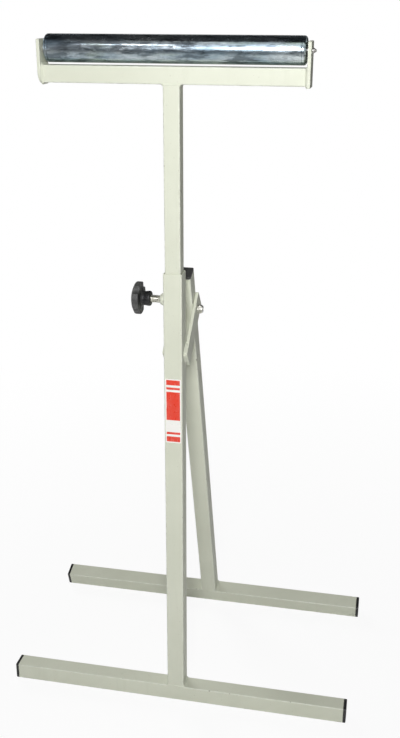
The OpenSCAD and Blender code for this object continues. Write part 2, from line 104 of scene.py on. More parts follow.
@dataclass(frozen=True)
class Box:
    """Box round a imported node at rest, from its lowest to its highest corner."""

    low: Array
    high: Array

    @classmethod
    def of(cls, node: str) -> "Box":
        """Box of the node with this name."""
        return cls(*(np.array(corner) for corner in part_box(node)))

    @property
    def size(self) -> Array:
        """Its widths along X, Y and Z."""
        return self.high - self.low

    @property
    def middle(self) -> Array:
        """Its middle."""
        return (self.low + self.high) / 2

    def end(self, side: Side) -> float:
        """X of its left or right end."""
        return (self.low if side is Side.LEFT else self.high)[0]


@dataclass(frozen=True)
class Placement:
    """A turned local frame: a point goes to the origin plus its coordinates times the axes."""

    origin: Array
    axes: Array  # local x, y and z as the three columns

    @classmethod
    def of(cls, origin: Array, x: Array, y: Array, z: Array) -> "Placement":
        """Frame with these local axes."""
        return cls(origin, np.stack([x, y, z], axis=1))

    @classmethod
    def facing(cls, origin: Array, direction: Array, upwards: Array = Z_AXIS) -> "Placement":
        """Frame whose local z points along a direction.

        Args:
            origin: Place of the local origin.
            direction: Where local z points.
            upwards: Where local x points, as far as it is square to local z. Where the
                two are parallel, local x points along Y.

        Returns:
            The placement.
        """
        z = direction / np.linalg.norm(direction)
        if abs(np.dot(upwards, z)) > 0.999:
            upwards = Y_AXIS
        x = upwards - np.dot(upwards, z) * z
        x /= np.linalg.norm(x)
        return cls.of(np.asarray(origin, float), x, np.cross(z, x), z)

    def apply(self, points: Array) -> Array:
        """Points in the frame of the stand."""
        return self.origin + points @ self.axes.T

    def matrix(self) -> Matrix:
        """The placement as the matrix of a lamp or camera."""
        rows = np.column_stack([self.axes, self.origin])
        return Matrix(rows.tolist() + [[0, 0, 0, 1]])


STAND = Placement(np.zeros(3), np.eye(3))


def hinge_axis() -> Array:
    """Point of the hinge bolt's axis in the middle plane."""
    joint = next(joint for joint in frame["joints"] if joint["name"] == "leg_fold")
    return np.array(joint["pos_m"])


def new_object(name: str, data: bpy.types.ID) -> bpy.types.Object:
    """New object of the scene.

    Args:
        name: Its name.
        data: Its mesh, lamp or camera.

    Returns:
        The object.
    """
    thing = bpy.data.objects.new(name, data)
    bpy.context.scene.collection.objects.link(thing)
    return thing


# Paths in the plane


def rectangle(u: tuple[float, float], v: tuple[float, float]) -> list[tuple[float, float]]:
    """Corners between two places along each axis, counter-clockwise."""
    return [(u[0], v[0]), (u[1], v[0]), (u[1], v[1]), (u[0], v[1])]


def rounded_path(corners: list, radii: list | float, steps: int = 4, closed: bool = True) -> Array:
    """Polyline whose corners become arcs that touch both of their sides.

    With a the turn at a corner, its arc of radius r starts r tan(a / 2) before the corner,
    and its centre lies r to the side of that start.

    Args:
        corners: Corners in the plane.
        radii: Radius of each corner, or one for all. An open path keeps its two ends.
        steps: Chords in an arc.
        closed: Whether the path is a loop.

    Returns:
        Points of the path, without repeats.
    """
    corner = np.asarray(corners, float)
    radius = np.broadcast_to(np.asarray(radii, float), len(corner))[:, None]
    before = corner - np.roll(corner, 1, axis=0)
    before /= np.linalg.norm(before, axis=1)[:, None]
    after = np.roll(before, -1, axis=0)
    cross = before[:, 0] * after[:, 1] - before[:, 1] * after[:, 0]
    turn = np.arctan2(cross, (before * after).sum(axis=1))[:, None]
    inwards = np.stack([-before[:, 1], before[:, 0]], axis=1) * np.sign(turn)
    centre = corner - before * radius * np.tan(np.abs(turn) / 2) + inwards * radius
    swing = turn * np.linspace(0, 1, steps + 1)
    arm = -inwards * radius
    arcs = centre[:, None] + np.stack([
        np.cos(swing) * arm[:, :1] - np.sin(swing) * arm[:, 1:],
        np.sin(swing) * arm[:, :1] + np.cos(swing) * arm[:, 1:],
    ], axis=-1)
    path = arcs.reshape(-1, 2)
    if not closed:
        path = np.concatenate([corner[:1], arcs[1:-1].reshape(-1, 2), corner[-1:]])
    gap = np.linalg.norm(path - np.roll(path, 1, axis=0), axis=1)
    gap[0] = gap[0] if closed else 1
    return path[gap > SAME_POINT]


def subdivided(loop: Array, spacing: float) -> Array:
    """Loop with points added along its long sides.

    Args:
        loop: Points of a closed loop.
        spacing: Greatest distance between neighbours.

    Returns:
        The loop with evenly split sides.
    """
    step = np.roll(loop, -1, axis=0) - loop
    count = np.maximum(np.ceil(np.linalg.norm(step, axis=1) / spacing), 1).astype(int)
    side = np.repeat(np.arange(len(loop)), count)
    first = np.repeat(np.cumsum(count) - count, count)
    share = (np.arange(count.sum()) - first) / count[side]
    return loop[side] + share[:, None] * step[side]


def evenly_spaced(loop: Array, count: int) -> Array:
    """Closed loop sampled at equal distances along its length.

    Args:
        loop: Points of the loop.
        count: Number of samples.

    Returns:
        The samples.
    """
    ring = np.concatenate([loop, loop[:1]])
    travel = np.concatenate([[0], np.cumsum(np.linalg.norm(np.diff(ring, axis=0), axis=1))])
    place = np.arange(count) * travel[-1] / count
    return np.stack([np.interp(place, travel, ring[:, axis]) for axis in (0, 1)], axis=1)


def outward_normals(loop: Array) -> Array:
    """Unit normals of a counter-clockwise loop, square to the chord over each point.

    Args:
        loop: Points of the loop.

    Returns:
        One normal for each point.
    """
    chord = np.roll(loop, -1, axis=0) - np.roll(loop, 1, axis=0)
    normal = np.stack([chord[:, 1], -chord[:, 0]], axis=1)
    return normal / np.linalg.norm(normal, axis=1)[:, None]


# Surfaces


@dataclass
class Shell:
    """Closed surface in the making."""

    points: Array
    faces: list[list[int]]  # counter-clockwise seen from outside
    edge: Array  # how much each point is part of an edge, from 0 to 1

    @classmethod
    def from_rings(cls, rings: Array, edge: Array | float = 0, closed: bool = False) -> "Shell":
        """Joins each ring of points to the next one with quads.

        Args:
            rings: Array of rings, columns and x, y, z. A ring runs counter-clockwise about
                the way in which the rings follow each other.
            edge: Edge share of all points, of each column, or of each ring and column.
            closed: Whether the last ring joins the first one. Otherwise a flat lid closes
                each end.

        Returns:
            The surface.
        """
        number = np.arange(rings[..., 0].size).reshape(rings.shape[:2])
        lower = number if closed else number[:-1]
        upper = np.roll(number, -1, axis=0) if closed else number[1:]
        quads = np.stack([lower, np.roll(lower, -1, 1), np.roll(upper, -1, 1), upper], axis=-1)
        faces = quads.reshape(-1, 4).tolist()
        if not closed:
            faces += [number[0, ::-1].tolist(), number[-1].tolist()]
        return cls(rings.reshape(-1, 3), faces, np.broadcast_to(edge, number.shape).ravel())

    def placed(self, place: Placement) -> "Shell":
        """The same surface in another frame."""
        return Shell(place.apply(self.points), self.faces, self.edge)

    def raised(self, height: float) -> "Shell":
        """The same surface, moved along local z."""
        return Shell(self.points + Z_AXIS * height, self.faces, self.edge)

    def __add__(self, other: "Shell") -> "Shell":
        """Both surfaces as one mesh.

        Args:
            other: The second surface.

        Returns:
            The joined surface.
        """
        moved = [[len(self.points) + number for number in face] for face in other.faces]
        points = np.concatenate([self.points, other.points])
        return Shell(points, self.faces + moved, np.concatenate([self.edge, other.edge]))


def even_angles(count: int) -> Array:
    """Angles that split a full turn evenly."""
    return np.arange(count) * 2 * np.pi / count


def polar_rings(radius: Array, height: Array, segments: int) -> Array:
    """Rings about local z: x is the radius times the angle's cosine, y times its sine."""
    radius, height, angle = np.broadcast_arrays(radius, height, even_angles(segments))
    return np.stack([radius * np.cos(angle), radius * np.sin(angle), height], axis=-1)


def turned(corners: list, radii: Array | float, steps: int, segments: int,
           closed: bool = True) -> Shell:
    """Round body: a path of radius and height, upwards on the outside, swung about local z."""
    path = rounded_path(corners, radii, steps, closed)
    return Shell.from_rings(polar_rings(path[:, :1], path[:, 1:], segments), closed=closed)


def square_rings(width: Array, corner: Array, height: Array, steps: int = 5) -> Array:
    """Stack of squares with round corners.

    Each corner is a quarter circle about the point that lies its radius inside both sides.

    Args:
        width: Width of each square.
        corner: Corner radius of each square.
        height: Height of each square along z.
        steps: Chords in a corner.

    Returns:
        Rings counter-clockwise about z.
    """
    quarter = np.arange(4)[:, None]
    angle = (quarter + np.linspace(0, 1, steps + 1)) * QUARTER_TURN
    middle = (quarter + 0.5) * QUARTER_TURN
    direction = np.stack([np.cos(angle), np.sin(angle)], axis=-1)
    diagonal = np.sign(np.stack([np.cos(middle), np.sin(middle)], axis=-1))
    radius = np.asarray(corner, float)[:, None, None, None]
    half = np.asarray(width, float)[:, None, None, None] / 2 - radius
    flat = (diagonal * half + direction * radius).reshape(len(radius), -1, 2)
    return stacked(flat, height)


def stacked(flat: Array, height: Array) -> Array:
    """Rings in the plane, each lifted to its height."""
    rise = np.broadcast_to(np.asarray(height, float)[:, None, None], flat.shape[:2] + (1,))
    return np.concatenate([flat, rise], axis=2)


def plate_shell(outline: Array, thickness: float, rounding: float,
                hole: tuple | None = None) -> Shell:
    """Flat plate from z = 0 to its thickness, with rounded rims and at most one round hole.

    A rim is a quarter circle: at angle q its point lies (1 - cos q) radii inside the outline
    and (1 - sin q) radii from the face.

    Args:
        outline: Counter-clockwise loop in the plane.
        thickness: Thickness of the plate.
        rounding: Radius of the rims.
        hole: Centre x, centre y and radius of the hole.

    Returns:
        The surface.
    """
    angle = np.linspace(0, QUARTER_TURN, 4)
    inset = rounding * (1 - np.cos(angle))
    drop = rounding * (1 - np.sin(angle))
    inset = np.concatenate([inset[::-1], inset])[:, None, None]
    rise = np.concatenate([drop[::-1], thickness - drop])
    rings = stacked(outline - inset * outward_normals(outline), rise)
    edge = np.tile([0.0, 1, 1, 0], 2)[:, None]
    if hole is None:
        return Shell.from_rings(rings, edge)
    arm = outline - hole[:2]
    arm /= np.linalg.norm(arm, axis=1)[:, None]
    chamfer = rounding / 2
    radius = hole[2] + np.array([chamfer, 0, 0, chamfer])[:, None, None]
    bore = stacked(hole[:2] + radius * arm, [thickness, thickness - chamfer, chamfer, 0])
    edge = np.concatenate([edge, np.zeros((len(bore), 1))])
    return Shell.from_rings(np.concatenate([rings, bore]), edge, closed=True)


def hexagon_shell(flats: float, height: float, bevels: tuple[bool, bool]) -> Shell:
    """Hexagon head or nut from z = 0 to its height, with turned bevels on its corners.

    The hexagon's radius at angle f from a flat is half its width over cos f, and a bevel
    limits it to a cone of 30 degrees that starts just inside the flats on the end face.

    Args:
        flats: Width over flats.
        height: Height along z.
        bevels: Whether the lower and the upper end have the bevel.

    Returns:
        The surface, with a flat towards local x.
    """
    segments, levels, sixth, inside = 72, 6, np.pi / 6, 0.97
    fold = (even_angles(segments) + sixth) % (2 * sixth) - sixth
    start, slope = flats / 2 * inside, math.tan(sixth)
    level = np.linspace(0, (flats / 2 / math.cos(sixth) - start) * slope, levels)
    cone = start + np.concatenate([level, level[::-1]]) / slope
    limit = np.where(np.repeat(bevels, levels), cone, np.inf)[:, None]
    radius = np.minimum(flats / 2 / np.cos(fold), limit)
    rise = np.concatenate([level, height - level[::-1]])[:, None]
    return Shell.from_rings(polar_rings(radius, rise, segments))


# Finishes


@dataclass(frozen=True)
class Cloud:
    """Fractal noise on object coordinates, carried from one range to another and held there."""

    scale: float  # features for each metre
    detail: float  # octaves
    low: float = 0  # noise that gives the least value
    high: float = 1  # noise that gives the most
    least: float = 0
    most: float = 1
    rough: float = 0.5  # strength of the fine octaves
    stretch: Point = (1, 1, 1)  # factor for each axis


@dataclass(frozen=True)
class Layer:
    """Colour over the ones below, as dense as the densest of its clouds."""

    colour: Colour
    clouds: tuple[Cloud, ...]
    on_edges: bool = False  # whether it lies on edges alone


class Graph:
    """Node tree of a material or of the world."""

    def __init__(self, owner: bpy.types.ID) -> None:
        """Empties the tree.

        Args:
            owner: The material or world.
        """
        owner.use_nodes = True
        self.owner, self.tree = owner, owner.node_tree
        self.tree.nodes.clear()

    def add(self, kind: str, inputs: dict, **settings: object) -> bpy.types.Node:
        """Adds one node.

        Args:
            kind: Blender's name of the node's type, less ShaderNode.
            inputs: Values or sockets for its inputs, by name or number.
            settings: Properties of the node.

        Returns:
            The node.
        """
        node = self.tree.nodes.new("ShaderNode" + kind)
        for key, value in settings.items():
            setattr(node, key, value)
        for key, value in inputs.items():
            if isinstance(value, Socket):
                self.tree.links.new(value, node.inputs[key])
            else:
                node.inputs[key].default_value = value
        return node

    def remap(self, value: Socket, low: float, high: float, least: float, most: float) -> Socket:
        """The value carried from one range to another and held there."""
        inputs = {"Value": value, "From Min": low, "From Max": high, "To Min": least,
                  "To Max": most}
        return self.add("MapRange", inputs).outputs[0]

    def noise(self, cloud: Cloud) -> Socket:
        """Value of a cloud.

        Args:
            cloud: The cloud.

        Returns:
            Socket of its value.
        """
        place = self.add("TexCoord", {}).outputs["Object"]
        if cloud.stretch != (1, 1, 1):
            place = self.add("Mapping", {"Vector": place, "Scale": cloud.stretch}).outputs[0]
        value = self.add("TexNoise", {"Vector": place, "Scale": cloud.scale, "Detail": cloud.detail,
                                      "Roughness": cloud.rough}).outputs[0]
        ranges = (cloud.low, cloud.high, cloud.least, cloud.most)
        return value if ranges == (0, 1, 0, 1) else self.remap(value, *ranges)

    def maths(self, operation: str, first: object, second: object) -> Socket:
        """Two numbers joined by an operation."""
        return self.add("Math", {0: first, 1: second}, operation=operation).outputs[0]

    def highest(self, *values: Socket) -> Socket:
        """The highest of some numbers."""
        return reduce(lambda first, second: self.maths("MAXIMUM", first, second), values)

    def rays(self, *kinds: str) -> Socket:
        """1 for rays of the named kinds, 0 for others."""
        path = self.add("LightPath", {})
        return self.highest(*(path.outputs[f"Is {kind} Ray"] for kind in kinds))

    def mix(self, share: Socket, first: object, second: object) -> Socket:
        """Two colours mixed, with the share of the second one."""
        pair = [value + (1,) if isinstance(value, tuple) else value for value in (first, second)]
        return self.add("Mix", {0: share, 6: pair[0], 7: pair[1]}, data_type="RGBA").outputs[2]

    def relief(self, grains: tuple[tuple[Cloud, float], ...]) -> Socket:
        """Normal of height maps over each other.

        Args:
            grains: Clouds with their depths in metres, the lowest first.

        Returns:
            Socket of the normal.
        """
        under = {}
        for cloud, depth in grains:
            inputs = {"Height": self.noise(cloud), "Distance": depth, "Strength": 1.0} | under
            under = {"Normal": self.add("Bump", inputs).outputs[0]}
        return under["Normal"]


@dataclass(frozen=True)
class Finish:
    """What a surface is made of. The material is made once and shared."""

    slot: str  # material slot of the record
    base: Colour
    layers: tuple[Layer, ...]
    grains: tuple[tuple[Cloud, float], ...]  # relief, with depths in metres
    rough: Cloud | None = None
    settings: tuple[tuple[str, float], ...] = ()  # other inputs of the shader

    @property
    def material(self) -> bpy.types.Material:
        """The finish as a Blender material."""
        name = f"{self.slot}_finish"
        return bpy.data.materials.get(name) or self.build(Graph(bpy.data.materials.new(name)))

    def colour(self, graph: Graph) -> Socket:
        """Base colour under all layers.

        Args:
            graph: Tree of the material.

        Returns:
            Socket of the colour.
        """
        colour = self.base
        for layer in self.layers:
            share = graph.highest(*(graph.noise(cloud) for cloud in layer.clouds))
            if layer.on_edges:
                edge = graph.add("Attribute", {}, attribute_name="edge").outputs["Fac"]
                share = graph.maths("MULTIPLY", edge, share)
            colour = graph.mix(share, colour, layer.colour)
        return colour

    def build(self, graph: Graph) -> bpy.types.Material:
        """Makes the node tree.

        Args:
            graph: Empty tree of the material.

        Returns:
            The material.
        """
        inputs = {"Base Color": self.colour(graph), "Normal": graph.relief(self.grains)}
        inputs |= dict(self.settings)
        if self.rough:
            inputs["Roughness"] = graph.noise(self.rough)
        shader = graph.add("BsdfPrincipled", inputs)
        graph.add("OutputMaterial", {"Surface": shader.outputs[0]})
        return graph.owner


@dataclass(frozen=True)
class CreamPaint(Finish):
    """Pale greenish cream powder coat with orange peel.

    Over it lie soiled patches and streaks, a painted highlight along the edges, specks, and chipped
    edges.
    """

    slot: str = "cream_paint"
    base: Colour = (0.67, 0.69, 0.575)
    layers: tuple[Layer, ...] = (
        Layer((0.58, 0.60, 0.485), (Cloud(7, 4, 0.38, 0.72, 0, 0.55),
                                    Cloud(1, 4, 0.5, 0.8, 0, 0.45, stretch=(90, 90, 6)))),
        # painted highlight: paler colour along the rounded edges and cut ends
        Layer((0.78, 0.80, 0.71), (Cloud(120, 3, 0.35, 0.7, 0.15, 0.9),), on_edges=True),
        Layer((0.30, 0.29, 0.22), (Cloud(420, 2, 0.735, 0.76, 0, 0.6),)),
        Layer((0.30, 0.29, 0.22), (Cloud(160, 2, 0.69, 0.71),), on_edges=True),
    )
    grains: tuple = ((Cloud(900, 2), 0.06 * MM), (Cloud(45, 2), 0.4 * MM))
    rough: Cloud = Cloud(60, 3, 0.3, 0.7, 0.36, 0.5)
    settings: tuple = (("Specular IOR Level", 0.45),)


@dataclass(frozen=True)
class BlackPlastic(Finish):
    """Moulded black plastic with a fine grain and dust, paler where a piece gives a pale share: a
    painted sheen over the leg's plug and a paler band on the knob's rim.
    """

    slot: str = "black_plastic"
    base: Colour = (0.010, 0.010, 0.011)
    layers: tuple[Layer, ...] = (
        Layer((0.045, 0.045, 0.043), (Cloud(140, 5, 0.45, 0.85, rough=0.65),)),
        # pale layer where a piece gives a pale share: painted sheen on the leg's plug, a paler band
        # on the knob's rim
        Layer((0.105, 0.105, 0.102), (Cloud(110, 4, 0.3, 0.7, 0.35, 1),), on_edges=True),
    )
    grains: tuple = ((Cloud(2400, 2), 0.03 * MM), (Cloud(180, 2), 0.12 * MM))
    rough: Cloud = Cloud(260, 3, 0.3, 0.7, 0.32, 0.48)


@dataclass(frozen=True)
class ZincPlate(Finish):
    """Zinc-plated fasteners: soft metal with a yellowish cloudy tint."""

    slot: str = "zinc_plate"
    base: Colour = (0.88, 0.87, 0.81)
    layers: tuple[Layer, ...] = (Layer((0.66, 0.65, 0.57), (Cloud(230, 4, 0.35, 0.7),)),)
    grains: tuple = ((Cloud(1500, 3), 0.03 * MM),)
    rough: Cloud = Cloud(500, 3, 0.3, 0.7, 0.24, 0.42)
    settings: tuple = (("Metallic", 1.0),)


@dataclass(frozen=True)
class RollerZinc(Finish):
    """Blue-grey zinc on the roller, with waves and small scratches round it.

    Over it lie bright clouds, dark clouds, yellow-green patches and fine dark grit, all
    drawn out along the roller.
    """

    slot: str = "roller_zinc"
    base: Colour = (0.33, 0.44, 0.52)
    layers: tuple[Layer, ...] = (
        Layer((0.80, 0.87, 0.88), (Cloud(1, 6, 0.36, 0.66, rough=0.62, stretch=(9, 34, 34)),)),
        Layer((0.10, 0.13, 0.15), (Cloud(1.7, 6, 0.50, 0.60, 0, 0.8, 0.68, (14, 60, 60)),)),
        Layer((0.44, 0.55, 0.38), (Cloud(2.3, 3, 0.55, 0.75, 0, 0.5, stretch=(6, 26, 26)),)),
        Layer((0.10, 0.13, 0.15), (Cloud(1.5, 6, 0.42, 0.62, 0, 0.35, 0.7, (60, 150, 150)),)),
    )
    grains: tuple = ((Cloud(1, 2, stretch=(20, 90, 90)), 0.15 * MM),
                     (Cloud(1, 2, stretch=(2500, 200, 200)), 0.01 * MM))
    rough: Cloud = Cloud(1, 4, 0.3, 0.7, 0.12, 0.30, 0.6, (60, 150, 150))
    settings: tuple = (("Metallic", 1.0),)


@dataclass(frozen=True)
class BrightSteel(Finish):
    """Drawn steel with fine turning marks and a little tarnish."""

    slot: str = "bright_steel"
    base: Colour = (0.60, 0.59, 0.57)
    layers: tuple[Layer, ...] = (Layer((0.33, 0.29, 0.25), (Cloud(300, 4, 0.5, 0.75),)),)
    grains: tuple = ((Cloud(1, 2, stretch=(4000, 300, 300)), 0.02 * MM),)
    rough: Cloud = Cloud(700, 3, 0.3, 0.7, 0.28, 0.45)
    settings: tuple = (("Metallic", 1.0),)


@dataclass(frozen=True)
class Nylon(Finish):
    """Milky, bluish nylon of the lock nut's ring."""

    slot: str = "nylon"
    base: Colour = (0.66, 0.70, 0.76)
    layers: tuple[Layer, ...] = (Layer((0.42, 0.50, 0.66), (Cloud(900, 3),)),)
    grains: tuple = ((Cloud(2500, 2), 0.03 * MM),)
    settings: tuple = (("Roughness", 0.5), ("Subsurface Weight", 0.1))


@dataclass(frozen=True)
class LabelFilm(Finish):
    """Printed label: an orange-red field, slightly faded and rubbed, with white bands.

    The bands are shares of the label's height, and the margin is a share of its width.
    """

    slot: str = "label_film"
    base: Colour = (0.76, 0.040, 0.012)
    white: Colour = (0.88, 0.87, 0.83)
    layers: tuple[Layer, ...] = (
        Layer(white, (Cloud(90, 4, 0.35, 0.75, 0, 0.05),)),
        Layer(white, (Cloud(1, 4, 0.62, 0.75, 0, 0.4, 0.6, (500, 500, 60)),)),
    )
    grains: tuple = ((Cloud(70, 2), 0.3 * MM),)
    rough: Cloud = Cloud(200, 3, 0.3, 0.7, 0.25, 0.38)
    settings: tuple = (("Coat Weight", 0.25), ("Coat Roughness", 0.2))
    bands: tuple = ((0, 0.018), (0.10, 0.135), (0.17, 0.36), (0.80, 0.835), (0.87, 0.905),
                    (0.982, 1))
    margin: float = 0.07
    waver: Cloud = Cloud(900, 2, 0, 1, -0.0012, 0.0012)  # of the bands' edges

    def colour(self, graph: Graph) -> Socket:
        """The field with the bands and margins over it.

        Args:
            graph: Tree of the material.

        Returns:
            Socket of the colour.
        """
        place = graph.add("SeparateXYZ", {0: graph.add("TexCoord", {}).outputs["UV"]})
        across = place.outputs[0]
        along = graph.maths("ADD", place.outputs[1], graph.noise(self.waver))
        white = [graph.maths("LESS_THAN", across, self.margin),
                 graph.maths("GREATER_THAN", across, 1 - self.margin)]
        white += [graph.maths("MULTIPLY", graph.maths("GREATER_THAN", along, low),
                              graph.maths("LESS_THAN", along, high)) for low, high in self.bands]
        return graph.mix(graph.highest(*white), super().colour(graph), self.white)


PAINT, PLASTIC, PLATING = CreamPaint(), BlackPlastic(), ZincPlate()
ROLLER_PLATING, STEEL = RollerZinc(), BrightSteel()


def dress_nodes(finish: Finish, *nodes: str) -> None:
    """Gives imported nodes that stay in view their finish.

    Args:
        finish: What they are made of.
        nodes: Names of the nodes.
    """
    for node in nodes:
        part = frame["nodes"][node]
        for slot in part.material_slots:
            slot.material = finish.material
        LOG.info("%s: packed node in %s", node, finish.slot)


# Parts that several sub-assemblies share


@dataclass(frozen=True)
class SquareTube:
    """Square tube along local z."""

    width: float
    wall: float = 1.5 * MM
    corner: float = TUBE_CORNER
    inner_corner: float = 0.9 * MM
    cut_edge: float = 0.35 * MM  # rounding of the cut ends

    def shell(self, start: float, end: float) -> Shell:
        """Tube between two heights: its rings pass up the outside and down the inside.

        Args:
            start: Lower end along local z.
            end: Upper end along local z.

        Returns:
            The surface, whose corners and cut ends count as edges.
        """
        edge, wall = self.cut_edge, self.wall
        inset = np.array([0, 0, edge, wall - edge, wall, wall, wall - edge, edge])
        height = [start + edge, end - edge, end, end, end - edge, start + edge, start, start]
        corner = self.corner + (self.inner_corner - self.corner) * inset / wall
        share = np.tile(np.sin(np.linspace(0, HALF_TURN, 6)), (len(inset), 4))
        share[[2, 7]] = 1
        rings = square_rings(self.width - 2 * inset, corner, height)
        return Shell.from_rings(rings, share, closed=True)


@dataclass(frozen=True)
class PushInCap:
    """Moulded cap for a tube's end: a head on the cut end and a hollow finned stem inside."""

    width: float
    head: float  # height of the head over the tube's end at local z = 0
    rounding: float = 1.3 * MM  # of the head's rim
    crown: float = 0.25 * MM  # rise of the middle of the face over its rim
    worn: float = 0.0  # share of the pale layer over the whole cap, from 0 to 1; on the leg's plug a painted sheen
    corner: float = TUBE_CORNER
    stem: float = 14 * MM
    stem_width: float = 24.8 * MM  # between the fins
    stem_wall: float = 1.6 * MM
    stem_corner: float = 0.88 * MM
    floor: float = 0.5 * MM  # of the hollow, under the tube's end
    fin: float = 1.0 * MM
    fins: tuple = (0, 3, 3.1, 4, 4.1, 6, 6.1, 7, 7.1, 9, 9.1, 10, 10.1, 14)  # in 14ths of the stem
    lip: float = 0.3 * MM  # bevel of the head at the tube
    face_rings: tuple = (2 * MM, 10 * MM, 22 * MM)  # how much narrower than the face
    face_drop: tuple = (0.6, 0.15, 0)  # how much lower than the middle, in crowns

    def shell(self) -> Shell:
        """The whole cap.

        The rings pass down the hollow, up the finned stem, out under the head and over its
        rounded rim to the crowned face.

        Returns:
            The surface.
        """
        hollow = self.stem_width - 2 * self.stem_wall
        comb = self.stem_width + np.array([0, 0, 1, 1] * 3 + [0, 0]) * 2 * self.fin
        angle = np.linspace(0, QUARTER_TURN, 5)
        rim_in = self.rounding * (1 - np.cos(angle))
        rim_rise = self.head - self.crown - self.rounding * (1 - np.sin(angle))
        face = self.width - 2 * self.rounding - np.array(self.face_rings)
        width = [hollow, hollow, *comb, self.width - 2 * self.lip, self.width,
                 *(self.width - 2 * rim_in), *face]
        height = [-self.floor, -self.stem, *(-self.stem * (1 - np.array(self.fins) / 14)), 0,
                  self.lip, *rim_rise, *(self.head - self.crown * np.array(self.face_drop))]
        inner = self.stem_corner
        corner = [*[inner] * (2 + len(comb)), self.corner, self.corner,
                  *np.maximum(self.corner - rim_in, inner), *[inner] * len(face)]
        return Shell.from_rings(square_rings(width, corner, height), self.worn)


def curve(share: Array, first: Array, control: Array, last: Array) -> Array:
    """Quadratic curve from a first to a last value, pulled towards its control value."""
    return (1 - share) ** 2 * first + 2 * share * (1 - share) * control + share ** 2 * last


@dataclass(frozen=True)
class WeldBead:
    """Painted fillet weld with faint, crescent-shaped ripples.

    The face is a quadratic curve from the toe on the floor to the toe on the wall. Its
    control point sets how hollow or full it is, and the ripples follow a rectified sine.
    """

    leg: float  # distance from the root to each toe
    fullness: float = 0.46  # place of the control point in legs; one half gives a flat face
    ripple: float = 0.16 * MM
    pitch: float = 2.4 * MM  # distance between ripples
    per_ripple: int = 6  # points along a ripple
    across: int = 9  # points across the face
    depth: float = 0.8 * MM  # of the hidden back inside the steel
    seam_pull: tuple[float, float] = (0.42, 0.1)  # control point of a flush run, out and up
    seam_drop: tuple[float, float] = (0.55, 0.35)  # how much lower its toes lie, in legs

    def waves(self, travel: Array, share: Array) -> Array:
        """Ripples that fade to nothing at the toes, over a slow swell of two sines.

        Args:
            travel: Distance along the bead.
            share: Place across the face, from 0 at one toe to 1 at the other.

        Returns:
            Heights of the ripples.
        """
        arch = 4 * share * (1 - share)
        turns = travel / self.pitch
        crest = np.abs(np.sin(np.pi * (turns + 0.4 * arch)))
        swell = (np.sin(turns / 2.7) + np.sin(turns / 1.3 + 1)) / 2
        return self.ripple * arch * (crest - 0.4 + 0.6 * swell)

    def straight(self, length: float) -> Shell:
        """Bead along local x on the floor z = 0 against the wall y = 0, with tapered ends.

        Args:
            length: Length over both ends.

        Returns:
            The surface.
        """
        count = max(int(length / self.pitch * self.per_ripple), 12)
        travel = np.linspace(0, length, count)[:, None]
        share = np.linspace(0, 1, self.across)[None, :]
        reach = np.clip(1 - np.abs(2 * travel / length - 1) ** (length / self.leg), 0.02, 1) ** 0.5
        control = self.fullness * self.leg
        lift = self.waves(travel, share) / math.sqrt(2)
        y = curve(share, self.leg, control, 0) * reach + lift
        z = curve(share, 0, control, self.leg) * reach + lift
        back = np.full_like(travel, -self.depth)
        y = np.concatenate([y, back, back], axis=1)
        z = np.concatenate([z, z[:, -1:] * 0.5, back], axis=1)
        return Shell.from_rings(np.stack([np.broadcast_to(travel, y.shape), y, z], axis=-1))

    def around(self, width: float, flush: float = 1) -> Shell:
        """Bead round a square post on a bar's upper face at local z = 0.

        On the two sides square to local x the bead is a fillet. On the other two, where
        the post may lie flush with the bar, it turns into a flat run over the seam, in
        proportion to the square of the normal's y.

        Args:
            width: Width of the post.
            flush: 1 where post and bar lie flush, 0 where the bar is wider.

        Returns:
            The surface.
        """
        count = int(4 * width / self.pitch * self.per_ripple)
        seam = evenly_spaced(square_rings([width], [TUBE_CORNER], [0], 12)[0, :, :2], count)
        normal = outward_normals(seam)
        level = flush * normal[:, 1] ** 2
        share = np.linspace(0, 1, self.across)[:, None]
        control_out, control_up = (self.leg * (self.fullness * (1 - level) + pull * level)
                                   for pull in self.seam_pull)
        drop, shrink = self.seam_drop
        floor_up, wall_up = -drop * self.leg * level, self.leg * (1 - shrink * level)
        lift = self.waves(np.arange(count) * 4 * width / count, share)
        out = curve(share, self.leg * (1 - level), control_out, 0) + lift * (0.7 + 0.3 * level)
        rise = curve(share, floor_up, control_up, wall_up) + lift * 0.7 * (1 - level)
        back = np.full((1, count), -self.depth)
        out = np.concatenate([out, back, back])
        sunk = floor_up - self.depth * (1 - level)
        rise = np.concatenate([rise, 0.5 * wall_up[None], sunk[None]])
        flat = seam + out[..., None] * normal
        return Shell.from_rings(np.concatenate([flat, rise[..., None]], axis=2), closed=True)


# Sub-assemblies


@dataclass
class SubAssembly:
    """Group of pieces, most of which ride on one body."""

    body: Body

    def piece(self, name: str, node: str, shell: Shell, place: Placement,
              finish: Finish = PAINT, crease: float = 38,
              body: Body | None = None) -> bpy.types.Object:
        """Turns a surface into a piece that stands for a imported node.

        Args:
            name: Name of the piece.
            node: The node.
            shell: The surface.
            place: Its place in the stand.
            finish: What it is made of.
            crease: Angle in degrees above which an edge stays sharp.
            body: The body it rides on, where that isn't the group's.

        Returns:
            The object.
        """
        mesh = bpy.data.meshes.new(name)
        mesh.from_pydata(place.apply(shell.points).tolist(), [], shell.faces)
        mesh.shade_smooth()
        mesh.set_sharp_from_angle(angle=math.radians(crease))
        share = mesh.attributes.new("edge", "FLOAT", "POINT")
        share.data.foreach_set("value", shell.edge.astype(np.float32))
        mesh.materials.append(finish.material)
        piece = new_object(name, mesh)
        piece.modifiers.new("flat_faces", "WEIGHTED_NORMAL").keep_sharp = True
        rider = (body or self.body).value
        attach(piece, rider)
        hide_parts(node)
        LOG.info("%s: %d points, %d faces, rides on %s", name, len(shell.points),
                 len(shell.faces), rider)
        return piece


